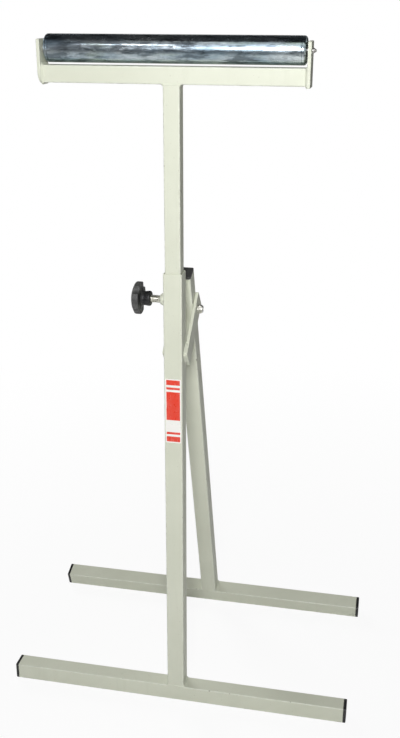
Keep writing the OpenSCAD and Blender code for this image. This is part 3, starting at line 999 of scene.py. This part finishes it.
@dataclass
class TFrame(SubAssembly):
    """Upside-down T of square tube: an upright, welded on a foot bar that has two caps.

    Local z runs up the upright from the middle of the foot bar.
    """

    name: str  # first word of the foot's pieces
    width: float = 30 * MM
    weld_leg: float = 3.2 * MM

    @property
    def up(self) -> Array:
        """Unit vector up the upright."""
        return Z_AXIS

    @property
    def bar(self) -> Box:
        """Box of the foot bar."""
        return Box.of(f"{self.name}_foot_bar")

    @property
    def local(self) -> Placement:
        """Frame of the upright."""
        return Placement.of(self.bar.middle, X_AXIS, np.cross(self.up, X_AXIS), self.up)

    def along(self, height: float) -> float:
        """Distance up the upright to an end whose edge, half a width aside, is at a height."""
        return (height - self.bar.middle[2] - self.width / 2 * abs(self.up[1])) / self.up[2]

    def foot(self) -> None:
        """Bar along X, turned with the upright, and its two caps."""
        centre, half = self.bar.middle, self.bar.size[0] / 2
        tube = SquareTube(self.width).shell(-half, half)
        place = Placement.facing(centre, X_AXIS, self.up)
        self.piece(f"{self.name}_foot_tube", f"{self.name}_foot_bar", tube, place)
        for side in Side:
            node = f"{self.name}_foot_cap_{side.word}"
            cap = PushInCap(self.width, abs(Box.of(node).end(side)) - half).shell()
            place = Placement.facing(centre + side.outward * half, side.outward, self.up)
            self.piece(f"{self.name}_cap_{side.word}", node, cap, place, PLASTIC)

    def upright(self, name: str, node: str) -> None:
        """Tube that stands on the foot bar."""
        tube = SquareTube(self.width).shell(self.width / 2, self.along(Box.of(node).high[2]))
        self.piece(name, node, tube, self.local)

    def bead(self, name: str, node: str, width: float) -> None:
        """Weld round the foot of the upright."""
        bead = WeldBead(self.weld_leg).around(width).raised(self.width / 2)
        self.piece(name, node, bead, self.local)


@dataclass
class FrontFrame(TFrame):
    """Front foot bar with its caps, the outer post, its weld and the label."""

    body: Body = Body.FRONT_FRAME
    name: str = "front"
    label_corner: float = 1.6 * MM

    def build(self) -> None:
        """Builds and dresses every piece of the front frame."""
        self.foot()
        self.upright("front_post_tube", "outer_post")
        self.bead("post_foot_bead", "post_foot_weld", Box.of("outer_post").size[0])
        self.label()

    def label(self) -> None:
        """Thin printed film with round corners, and a map from 0 to 1 over its face."""
        box = Box.of("post_label")
        width, thickness, height = box.size
        corners = rectangle((-width / 2, width / 2), (-height / 2, height / 2))
        shell = plate_shell(rounded_path(corners, self.label_corner, 6), thickness, thickness * 0.3)
        back = np.array([box.middle[0], box.high[1], box.middle[2]])
        place = Placement.of(back, X_AXIS, Z_AXIS, -Y_AXIS)
        mesh = self.piece("post_label_film", "post_label", shell, place, LabelFilm()).data
        print_map = mesh.uv_layers.new(name="print")
        number = np.zeros(len(mesh.loops), np.int32)
        mesh.loops.foreach_get("vertex_index", number)
        flat = (shell.points[number, :2] + [width / 2, height / 2]) / [width, height]
        print_map.data.foreach_set("uv", flat.astype(np.float32).ravel())


@dataclass
class RearFrame(TFrame):
    """Leaning leg with its plug, the rear foot bar with its caps, and their weld."""

    body: Body = Body.REAR_FRAME
    name: str = "rear"

    @property
    def up(self) -> Array:
        """Unit vector up the leg."""
        leg = hinge_axis() - self.bar.middle
        return leg / np.linalg.norm(leg)

    def build(self) -> None:
        """Builds and dresses every piece of the rear frame."""
        self.upright("rear_leg_tube", "rear_leg")
        top, plug_top = (self.along(Box.of(node).high[2]) for node in ("rear_leg", "rear_leg_plug"))
        # 0.6: a painted sheen of the pale layer over the whole plug
        plug = PushInCap(self.width, plug_top - top, 0.9 * MM, 0.4 * MM, 0.6).shell().raised(top)
        self.piece("rear_leg_top_plug", "rear_leg_plug", plug, self.local, PLASTIC)
        self.bead("rear_foot_bead", "rear_foot_weld", self.width)
        self.foot()


@dataclass
class HingeJoint(SubAssembly):
    """Two flat bars on the post's sides, their welds, and the bolt that carries the leg."""

    body: Body = Body.FRONT_FRAME
    bar_length: float = 120 * MM
    bar_width: float = 35 * MM
    bar_end: float = 22 * MM  # from the bolt to the bar's upper end
    rise_deg: float = 40.3  # of the bars above level
    bar_corner: float = 1.2 * MM
    rounding: float = 0.6 * MM  # of the bars' edges
    weld_leg: float = 4.2 * MM
    weld_margin: float = 1.5 * MM  # from the welds' ends to the post's back
    bolt: float = 8 * MM
    flats: float = 13 * MM  # of the bolt's head and nut
    edge: float = 0.4 * MM  # of the fasteners
    tip: tuple = (1 * MM, 0.9 * MM)  # length and depth of the bevel at the bolt's end
    collar: float = 0.9 * MM  # wall of the nut's collar

    @property
    def along(self) -> Array:
        """Unit vector up the bars, backwards and upwards."""
        rise = math.radians(self.rise_deg)
        return Y_AXIS * math.cos(rise) + Z_AXIS * math.sin(rise)

    @property
    def across(self) -> Array:
        """Unit vector square to the bars, forwards and upwards."""
        return np.cross(X_AXIS, self.along)

    def build(self) -> None:
        """Builds and dresses every piece of the hinge."""
        for side in Side:
            self.flat_bar(side)
        self.welds()
        self.fasteners()

    def flat_bar(self, side: Side) -> None:
        """One flat bar with its bolt hole.

        Args:
            side: Which side of the post it is on.
        """
        node = f"hinge_bracket_{side.word}"
        box, half = Box.of(node), self.bar_width / 2
        corners = rectangle((self.bar_end - self.bar_length, self.bar_end), (-half, half))
        outline = subdivided(rounded_path(corners, self.bar_corner, 3), PLATE_STEP)
        shell = plate_shell(outline, box.size[0], self.rounding, (0, 0, self.bolt / 2))
        place = Placement.of(hinge_axis() + X_AXIS * box.low[0], self.along, self.across, X_AXIS)
        self.piece(f"hinge_flat_bar_{side.word}", node, shell, place)

    def welds(self) -> None:
        """Beads along the upper edge and the lower end of both flat bars, on the post's sides."""
        post_half = Box.of("outer_post").high[0]
        end = hinge_axis() + self.along * (self.bar_end - self.bar_length)
        corner = end + self.across * self.bar_width / 2
        room = post_half - self.weld_margin - corner[1]
        run, drop = room / self.along[1], min(room / -self.across[1], self.bar_width)
        beads = []
        for side in Side:
            start = corner + side.outward * post_half
            beads.append(self.bead(start, self.along, self.across, side, run))
            beads.append(self.bead(start, -self.across, -self.along, side, drop))
        self.piece("hinge_bar_beads", "bracket_welds", sum(beads[1:], beads[0]), STAND)

    def bead(self, start: Array, run: Array, away: Array, side: Side, length: float) -> Shell:
        """Straight bead on a side of the post.

        Args:
            start: Where it starts.
            run: The way it runs.
            away: Unit vector from the flat bar over the post.
            side: Side of the post.
            length: Its length.

        Returns:
            The surface.
        """
        if np.dot(np.cross(run, away), side.outward) < 0:
            start, run = start + run * length, -run
        place = Placement.of(start, run, away, side.outward)
        return WeldBead(self.weld_leg).straight(length).placed(place)

    def fasteners(self) -> None:
        """Bolt with its hexagon head, two washers and the lock nut."""
        bolt, washers, nut, ring = (Box.of("hinge_" + part)
                                    for part in ("bolt", "washers", "nut", "nut_ring"))
        place = Placement.facing(hinge_axis(), X_AXIS)
        start, end, radius, edge = washers.low[0], bolt.high[0], self.bolt / 2, self.edge
        head = hexagon_shell(self.flats, start - bolt.low[0], (True, False)).raised(bolt.low[0])
        corners = [(edge, start), (radius, start), (radius, end - self.tip[0]),
                   (radius - self.tip[1], end), (edge, end)]
        shank = turned(corners, edge / 2, 2, 48, closed=False)
        self.piece("hinge_bolt_and_head", "hinge_bolt", head + shank, place, PLATING)
        thick, outer = nut.low[0] - Box.of("hinge_bracket_right").high[0], washers.size[2] / 2
        left, right = (turned(rectangle((radius, outer), (x, x + thick)), edge / 2, 2, 64)
                       for x in (start, washers.high[0] - thick))
        self.piece("hinge_washer_pair", "hinge_washers", left + right, place, PLATING)
        tall = ring.low[0] - nut.low[0]
        hexagon = hexagon_shell(self.flats, tall, (True, True)).raised(nut.low[0])
        inner, foot, top = ring.size[2] / 2, ring.low[0] - edge, nut.high[0]
        outer, lip = inner + self.collar, inner - edge
        corners = [(inner, foot), (outer, foot), (outer, top), (lip, top), (lip, ring.high[0]),
                   (inner, ring.high[0])]
        collar = turned(corners, np.array([0, 0.2, 0.9, 0.2, 0, 0]) * MM, 3, 64)
        self.piece("hinge_lock_nut", "hinge_nut", hexagon + collar, place, PLATING)
        dress_nodes(Nylon(), "hinge_nut_ring")


@dataclass
class HeightLock(SubAssembly):
    """Threaded boss on the post, the clamping screw and its lobed knob.

    Local z runs along the screw, out of the post to the left.
    """

    body: Body = Body.CLAMP_SCREW
    screw: float = 12 * MM
    thread_depth: float = 0.95 * MM
    thread_flats: tuple[float, float] = (0.12, 0.14)  # shares of the wave cut at crest and root
    pitch: float = 1.75 * MM
    boss: float = 19 * MM
    boss_root: float = 2.2 * MM  # length of its flare at the post
    boss_tip: float = 14.4 * MM  # diameter of its outer end
    boss_taper: float = 3.6 * MM  # length of its outer taper
    boss_lead: float = 0.5 * MM  # bevel of its bore
    hub: float = 24 * MM  # diameter of the knob's hub at its free end
    hub_length: float = 15.8 * MM
    hub_edge: float = 2.6 * MM  # rounding of its free end
    waist: float = 0.9 * MM  # how much narrower its radius is at the head
    blend: tuple[float, float] = (5.5 * MM, 4.5 * MM)  # reach out along the head and down the hub
    head: float = 51.45 * MM  # diameter of the knob's head over its lobes
    rim: float = 8.6 * MM  # height of the head's rim
    scallop: float = 16 * MM  # diameter of the scallops between the lobes
    scallop_depth: float = 5 * MM
    scallop_soft: float = 0.9 * MM  # softness of their ends
    lobes: int = 4
    under_edge: float = 0.9 * MM  # rounding of the rim at the underside
    rim_edge: float = 1.8 * MM  # rounding of the rim at the dome
    pale_rows: tuple = (0, 0, 0, 0, 0.1, 0.8, 1, 0.6)  # share of the pale layer from the hub's free end to the dome, most on the rim

    def place(self, node: str) -> Placement:
        """Frame on the screw's axis at a node's right end, with local z to the left."""
        origin = X_AXIS * Box.of(node).high[0] + Z_AXIS * Box.of("lock_screw").middle[2]
        return Placement.facing(origin, -X_AXIS)

    def build(self) -> None:
        """Builds and dresses every piece of the height lock."""
        self.threaded_boss()
        self.clamping_screw()
        self.knob()
        dress_nodes(STEEL, "lock_pad")

    def threaded_boss(self) -> None:
        """Turned boss with a weld at the post and a tapered outer end."""
        length, _, root = Box.of("lock_boss").size
        bore, lead, radius = self.screw / 2 + 0.05 * MM, self.boss_lead, self.boss / 2
        corners = [(bore, 0), (root / 2, 0), (radius, self.boss_root),
                   (radius, length - self.boss_taper), (self.boss_tip / 2, length),
                   (bore + lead, length), (bore, length - lead)]
        shell = turned(corners, np.array([0, 0.1, 1.5, 1.0, 0.6, 0.1, 0.1]) * MM, 4, 96)
        place = self.place("lock_boss")
        self.piece("lock_threaded_boss", "lock_boss", shell, place, body=Body.FRONT_FRAME)

    def clamping_screw(self) -> None:
        """Screw with a true helical thread.

        The groove's depth is a triangle wave of the turns along the axis less the turn of
        the angle, with its crest and root cut flat.
        """
        length, segments = Box.of("lock_screw").size[0], 48
        z = np.linspace(0, length, int(length / self.pitch * 10))[:, None]
        turns = z / self.pitch - np.arange(segments) / segments
        crest, root = self.thread_flats
        groove = np.clip((np.abs(2 * (turns % 1) - 1) - crest) / (1 - crest - root), 0, 1)
        chamfer = np.clip(self.pitch - z, 0, None) + np.clip(z - length + self.pitch, 0, None)
        radius = self.screw / 2 - np.maximum(self.thread_depth * groove, chamfer * 0.8)
        shell = Shell.from_rings(polar_rings(radius, z, segments))
        place = self.place("lock_screw")
        self.piece("lock_threaded_screw", "lock_screw", shell, place, PLATING, crease=70)

    def lobed_radius(self, angle: Array) -> Array:
        """Outline of the knob's head.

        A circle over the lobes and the near side of each scallop circle, joined by a
        smooth least value: minus the logarithm of the sum of both exponentials.

        Args:
            angle: Angles about the knob's axis.

        Returns:
            Radius at each angle.
        """
        sector = 2 * np.pi / self.lobes
        turn = (angle % sector) - sector / 2
        far = (self.head + self.scallop) / 2 - self.scallop_depth
        inside = (self.scallop / 2) ** 2 - (far * np.sin(turn)) ** 2
        scallop = np.where(inside > 0, far * np.cos(turn) - np.sqrt(np.abs(inside)), self.head)
        low, high = np.minimum(self.head / 2, scallop), np.maximum(self.head / 2, scallop)
        return low - np.log1p(np.exp((low - high) / self.scallop_soft)) * self.scallop_soft

    def knob(self) -> None:
        """Knob with a waisted hub, a hollow blend under the head, four lobes and a dome.

        Rows run from the hub's free end over the blend, the flat underside and the rim to
        the middle of the dome. The blend is a quarter of an ellipse, the waist half a
        cosine wave.
        """
        total, segments = Box.of("lock_knob").size[0], 192
        lobed = self.lobed_radius(even_angles(segments))[None]
        sag = total - self.hub_length - self.rim
        dome_radius = ((self.head / 2) ** 2 + sag ** 2) / (2 * sag)

        def dome(radius: Array) -> Array:
            """Height of the spherical face at a radius."""
            return total - dome_radius + np.sqrt(dome_radius ** 2 - radius ** 2)

        share = np.linspace(0, 1, 9)[1:, None]
        sine, cosine = np.sin(share * QUARTER_TURN), np.cos(share * QUARTER_TURN)
        edge, sharp, soft = self.hub_edge, self.under_edge, self.rim_edge
        blend_out, blend_up = self.blend
        narrow, foot = self.hub / 2 - self.waist, self.hub_length - blend_up
        inner = narrow + blend_out
        rim = lobed - soft * (1 - cosine)
        face = (lobed - soft) * (1 - 0.97 * share)
        rows = [
            (self.screw / 2 + 1 * MM, np.zeros((1, 1))),
            (self.hub / 2 - edge * (1 - sine), edge * (1 - cosine)),
            (narrow + self.waist * (1 + np.cos(np.pi * share)) / 2, edge + (foot - edge) * share),
            (inner - blend_out * cosine, foot + blend_up * sine),
            (inner + (lobed - sharp - inner) * share, self.hub_length + 0 * share),
            (lobed - sharp * (1 - sine), self.hub_length + sharp * (1 - cosine)),
            (rim, dome(rim) - soft * (1 - sine)),
            (face, dome(face)),
        ]
        rings = np.concatenate([polar_rings(radius, height, segments) for radius, height in rows])
        worn = np.repeat(self.pale_rows, [len(height) for _, height in rows])[:, None]
        shell = Shell.from_rings(rings, worn)
        place = self.place("lock_knob")
        self.piece("lock_lobed_knob", "lock_knob", shell, place, PLASTIC, crease=50)


@dataclass
class Head(SubAssembly):
    """Inner post, cross bar, end plates, their welds and the roller's axle."""

    body: Body = Body.HEAD
    weld_leg: float = 3.0 * MM
    plate_corner: float = 2.5 * MM  # radius of the plates' upper corners
    plate_rounding: float = 0.8 * MM  # of the plates' edges
    axle: float = 8 * MM
    axle_drop: float = 13 * MM  # from the top of the plates down to the axle
    axle_fit: float = 0.1 * MM  # gap round it in the plates
    axle_edge: float = 0.5 * MM
    axle_plain: float = 1.4 * MM  # length outside the right plate before its point
    axle_point: float = 1.3 * MM  # radius of the point's end

    def build(self) -> None:
        """Builds and dresses every piece of the head."""
        self.tubes()
        for side in Side:
            self.end_plate(side)
        self.welds()
        self.axle_rod()
        dress_nodes(STEEL, "axle_clips", "axle_collar_left", "axle_collar_right",
                    "bearing_race_left", "bearing_race_right")

    def tubes(self) -> None:
        """Sliding post and cross bar."""
        post, bar = Box.of("inner_post"), Box.of("cross_bar")
        upright = SquareTube(post.size[0]).shell(post.low[2], post.high[2])
        self.piece("sliding_post_tube", "inner_post", upright, STAND)
        half = bar.size[0] / 2
        level = SquareTube(bar.size[2]).shell(-half, half)
        self.piece("cross_bar_tube", "cross_bar", level, Placement.facing(bar.middle, X_AXIS))

    def end_plate(self, side: Side) -> None:
        """Upright plate with a hole for the axle. The left one is round at its lower end.

        Args:
            side: Which end of the cross bar it is on.
        """
        node = f"end_plate_{side.word}"
        box = Box.of(node)
        thickness, width, tall = box.size
        lower = width / 2 - 0.01 * MM if side is Side.LEFT else self.plate_corner
        corners = rectangle((-width / 2, width / 2), (0, tall))
        path = rounded_path(corners, [lower, lower, self.plate_corner, self.plate_corner], 24)
        hole = (0, tall - self.axle_drop, self.axle / 2 + self.axle_fit)
        shell = plate_shell(subdivided(path, PLATE_STEP), thickness, self.plate_rounding, hole)
        place = Placement.of(np.array([box.low[0], 0, box.low[2]]), Y_AXIS, Z_AXIS, X_AXIS)
        self.piece(f"end_plate_steel_{side.word}", node, shell, place)

    def welds(self) -> None:
        """Beads under the cross bar round the post, and round both ends of the bar."""
        bar, bead = Box.of("cross_bar"), WeldBead(self.weld_leg)
        width = bar.size[2]
        under = Placement.of(Z_AXIS * bar.low[2], X_AXIS, -Y_AXIS, -Z_AXIS)
        shell = bead.around(width).placed(under)
        for side in Side:
            end = np.array([bar.end(side), 0, bar.middle[2]])
            shell += bead.around(width, 0).placed(Placement.facing(end, -side.outward))
        self.piece("head_weld_beads", "head_welds", shell, STAND)

    def axle_rod(self) -> None:
        """Plain rod, cut square at the left and drawn to a blunt point at the right."""
        box, radius, edge = Box.of("roller_axle"), self.axle / 2, self.axle_edge
        start, end = box.low[0], box.high[0]
        shoulder = Box.of("end_plate_right").high[0] + self.axle_plain
        corners = [(edge, start), (radius - edge, start), (radius, start + edge),
                   (radius, shoulder), (self.axle_point, end), (0.3 * MM, end)]
        shell = turned(corners, np.array([0, 0.1, 0.1, 0.8, 0.7, 0]) * MM, 4, 64, closed=False)
        place = Placement.facing(Z_AXIS * box.middle[2], X_AXIS)
        self.piece("roller_axle_rod", "roller_axle", shell, place, STEEL)


@dataclass
class Roller(SubAssembly):
    """Zinc-plated roller tube with a pressed bearing housing in each end."""

    body: Body = Body.ROLLER
    wall: float = 1.5 * MM
    chamfer: float = 0.7 * MM  # at the tube's ends
    rim: float = 6 * MM  # width of a housing's rim outside the tube
    sheet: float = 1.5 * MM  # thickness of the housing
    plug: float = 12 * MM  # length of the housing's skirt in the tube
    plug_fit: float = 0.05 * MM
    ring: tuple[float, float] = (8.9 * MM, 11.95 * MM)  # inner and outer radius of the ball ring
    ring_depth: float = 9 * MM
    groove: float = 0.35 * MM  # round the ball ring

    def build(self) -> None:
        """Builds and dresses the roller."""
        box = Box.of("roller_tube")
        radius, half, cut = box.size[2] / 2, box.size[0] / 2, self.chamfer
        bore = radius - self.wall
        corners = [(bore, -half), (radius - cut, -half), (radius, cut - half),
                   (radius, half - cut), (radius - cut, half), (bore, half)]
        shell = turned(corners, np.array([0, 0.2, 0.4, 0.4, 0.2, 0]) * MM, 3, 160)
        place = Placement.facing(box.middle, X_AXIS)
        self.piece("roller_outer_tube", "roller_tube", shell, place, ROLLER_PLATING)
        for side in Side:
            place = Placement.facing(box.middle + side.outward * (half + self.rim), -side.outward)
            self.piece(f"bearing_housing_{side.word}", f"roller_housing_{side.word}",
                       self.housing(radius), place, ROLLER_PLATING)
        dress_nodes(STEEL, "bearing_balls_left", "bearing_balls_right")

    def housing(self, radius: float) -> Shell:
        """Pressed housing, with local z into the roller.

        Args:
            radius: Radius of the roller.

        Returns:
            The surface.
        """
        sheet, rim, groove, deep = self.sheet, self.rim, self.groove, self.ring_depth
        inner, outer = self.ring
        skirt = radius - self.wall - self.plug_fit
        corners = [(inner, 0), (outer, 0), (outer + groove, groove), (outer + 2 * groove, 0),
                   (radius, 0), (radius, rim), (skirt, rim), (skirt, rim + self.plug),
                   (skirt - sheet, rim + self.plug), (skirt - sheet, sheet), (outer, sheet),
                   (outer, deep), (inner, deep)]
        radii = np.array([0.4, 0, 0.1, 0.1, 4.5, 0.5, 0.1, 0.1, 0.1, 2.5, 0.1, 0.1, 0.1]) * MM
        return turned(corners, radii, 8, 128)


# Camera, floor and light


@dataclass(frozen=True)
class PhotoCamera:
    """Camera at the photograph's place and angle."""

    position: Point = (0.3263, -1.3976, 1.1846)
    azimuth_deg: float = 11.54  # to the left from looking along Y
    elevation_deg: float = -20.72
    roll_deg: float = 0.14
    focal_px: float = 953.7
    height_px: int = 738  # of the photograph
    sensor_mm: float = 36

    def build(self) -> None:
        """Makes the camera, aimed along the view with its roll."""
        turn, rise, roll = np.radians([self.azimuth_deg, self.elevation_deg, self.roll_deg])
        right = X_AXIS * np.cos(turn) + Y_AXIS * np.sin(turn)
        ahead = Y_AXIS * np.cos(turn) - X_AXIS * np.sin(turn)
        view = ahead * np.cos(rise) + Z_AXIS * np.sin(rise)
        tilted = right * np.cos(roll) + np.cross(right, view) * np.sin(roll)
        data = bpy.data.cameras.new("photo_camera")
        data.sensor_width = self.sensor_mm
        data.lens = self.sensor_mm * self.focal_px / self.height_px
        camera = new_object("photo_camera", data)
        camera.matrix_world = Placement.facing(self.position, -view, tilted).matrix()
        bpy.context.scene.camera = camera


@dataclass(frozen=True)
class Lamp:
    """Square area lamp that shiny surfaces don't mirror."""

    name: str
    place: Point
    aim: Point
    size: float
    power: float  # in watts

    def build(self) -> None:
        """Makes the lamp."""
        data = bpy.data.lights.new(self.name, "AREA")
        data.size, data.energy = self.size, self.power
        lamp = new_object(self.name, data)
        lamp.visible_glossy = False
        lamp.matrix_world = Placement.facing(self.place, np.subtract(self.place, self.aim)).matrix()


@dataclass(frozen=True)
class Card:
    """Glowing rectangle that only mirror rays see."""

    name: str
    place: Point
    aim: Point
    size: tuple[float, float]  # along X and the other way
    glow: float  # 1 is white

    def build(self) -> None:
        """Makes the card."""
        half_w, half_h = np.array(self.size) / 2
        flat = np.array(rectangle((-half_h, half_h), (-half_w, half_w)))
        spot = Placement.facing(self.place, np.subtract(self.aim, self.place))
        graph = Graph(bpy.data.materials.new(self.name))
        colour = (self.glow, self.glow, self.glow * 1.05, 1)
        card = stage_sheet(self.name, spot.apply(stacked(flat[None], [0])[0]), graph,
                           graph.add("Emission", {"Color": colour, "Strength": 1.0}))
        card.visible_camera = card.visible_diffuse = False
        card.visible_shadow = card.visible_transmission = False


def stage_sheet(name: str, corners: Array, graph: Graph,
                shader: bpy.types.Node) -> bpy.types.Object:
    """Flat face of the stage.

    Args:
        name: Name of the object.
        corners: Its corners, counter-clockwise.
        graph: Tree of its material.
        shader: Shader of its surface.

    Returns:
        The object.
    """
    graph.add("OutputMaterial", {"Surface": shader.outputs[0]})
    mesh = bpy.data.meshes.new(name)
    mesh.from_pydata(corners.tolist(), [], [list(range(len(corners)))])
    mesh.materials.append(graph.owner)
    sheet = new_object(name, mesh)
    return sheet


@dataclass(frozen=True)
class Studio:
    """Pale floor, white surroundings, two soft lamps, and cards that only the metal mirrors."""

    ambient: float = 0.095  # light of the surroundings on matt surfaces
    floor_radius: float = 14
    floor_level: float = -0.0004  # just under the feet
    floor_grey: float = 0.88
    shadow_share: float = 0.09  # how much of the floor's own shading shows
    shadow_reach: tuple[float, float] = (0.35, 1.8)  # where the floor fades to white
    mirror_share: float = 0.2  # how white the floor looks in mirror rays
    lamps: tuple[Lamp, ...] = (
        Lamp("front_lamp", (0.27, -1.45, 1.42), (0, 0, 0.75), 0.35, 25.5),
        Lamp("back_lamp", (-1.9, 2.0, 1.6), (0, 0.1, 0.6), 1.2, 42),
    )
    cards: tuple[Card, ...] = (
        Card("upper_card", (0, 1.0, 2.7), (0, 1.0, 0), (5.0, 3.6), 0.04),
        Card("back_card", (0.6, 3.2, 1.3), (0.6, 0, 1.3), (6.0, 2.8), 0.06),
        Card("front_card", (-1.95, -3.2, 1.4), (-1.95, 0, 1.4), (2.8, 2.8), 0.15),
        Card("front_upper_card", (-1.85, -2.0, 2.8), (-1.85, -2.0, 0), (2.9, 2.4), 0.15),
        Card("glow_card", (0.12, -1.75, 1.50), (0, 0, 0.9), (0.6, 0.6), 14.0),
        Card("streak_card", (-0.545, -1.6, 2.15), (-0.08, 0, 1.13), (0.13, 0.10), 24.0),
        Card("right_card", (-0.17, -2.2, 2.2), (0.12, 0, 1.13), (0.42, 1.5), 2.0),
    )

    def build(self) -> None:
        """Makes everything round the object."""
        bpy.context.scene.view_settings.view_transform = "Standard"
        self.world()
        self.floor()
        for thing in self.cards + self.lamps:
            thing.build()

    def world(self) -> None:
        """White to the camera and to mirror rays, and a low even light on matt surfaces."""
        world = bpy.data.worlds.new("surroundings")
        bpy.context.scene.world = world
        graph = Graph(world)
        seen = graph.rays("Camera", "Glossy", "Transmission")
        inputs = {"Color": (1, 1, 1, 1), "Strength": graph.remap(seen, 0, 1, self.ambient, 1)}
        graph.add("OutputWorld", {"Surface": graph.add("Background", inputs).outputs[0]})

    def floor(self) -> None:
        """Round floor that looks white but keeps a part of the object's shadow near it."""
        rim = polar_rings(np.array([[self.floor_radius]]), np.array([[self.floor_level]]), 96)[0]
        graph = Graph(bpy.data.materials.new("pale_floor"))
        matt = graph.add("BsdfDiffuse", {"Color": (self.floor_grey,) * 3 + (1,)})
        white = graph.add("Emission", {"Color": (1, 1, 1, 1), "Strength": 1.0})
        mirror = graph.maths("MULTIPLY", graph.rays("Glossy", "Transmission"), self.mirror_share)
        seen = graph.highest(graph.rays("Camera"), mirror)
        place = graph.add("TexCoord", {}).outputs["Object"]
        away = graph.add("VectorMath", {0: place}, operation="LENGTH").outputs["Value"]
        fade = graph.remap(away, *self.shadow_reach, 1 - self.shadow_share, 1)
        share = graph.maths("MULTIPLY", seen, fade)
        shader = graph.add("MixShader", {0: share, 1: matt.outputs[0], 2: white.outputs[0]})
        stage_sheet("floor", rim, graph, shader)


def main() -> None:
    """Builds the camera, the stage and every sub-assembly."""
    logging.basicConfig(level=logging.INFO, format="%(name)s: %(message)s")
    PhotoCamera().build()
    Studio().build()
    for assembly in (FrontFrame(), HingeJoint(), HeightLock(), Head(), Roller(), RearFrame()):
        assembly.build()


if __name__ == "__main__":
    main()
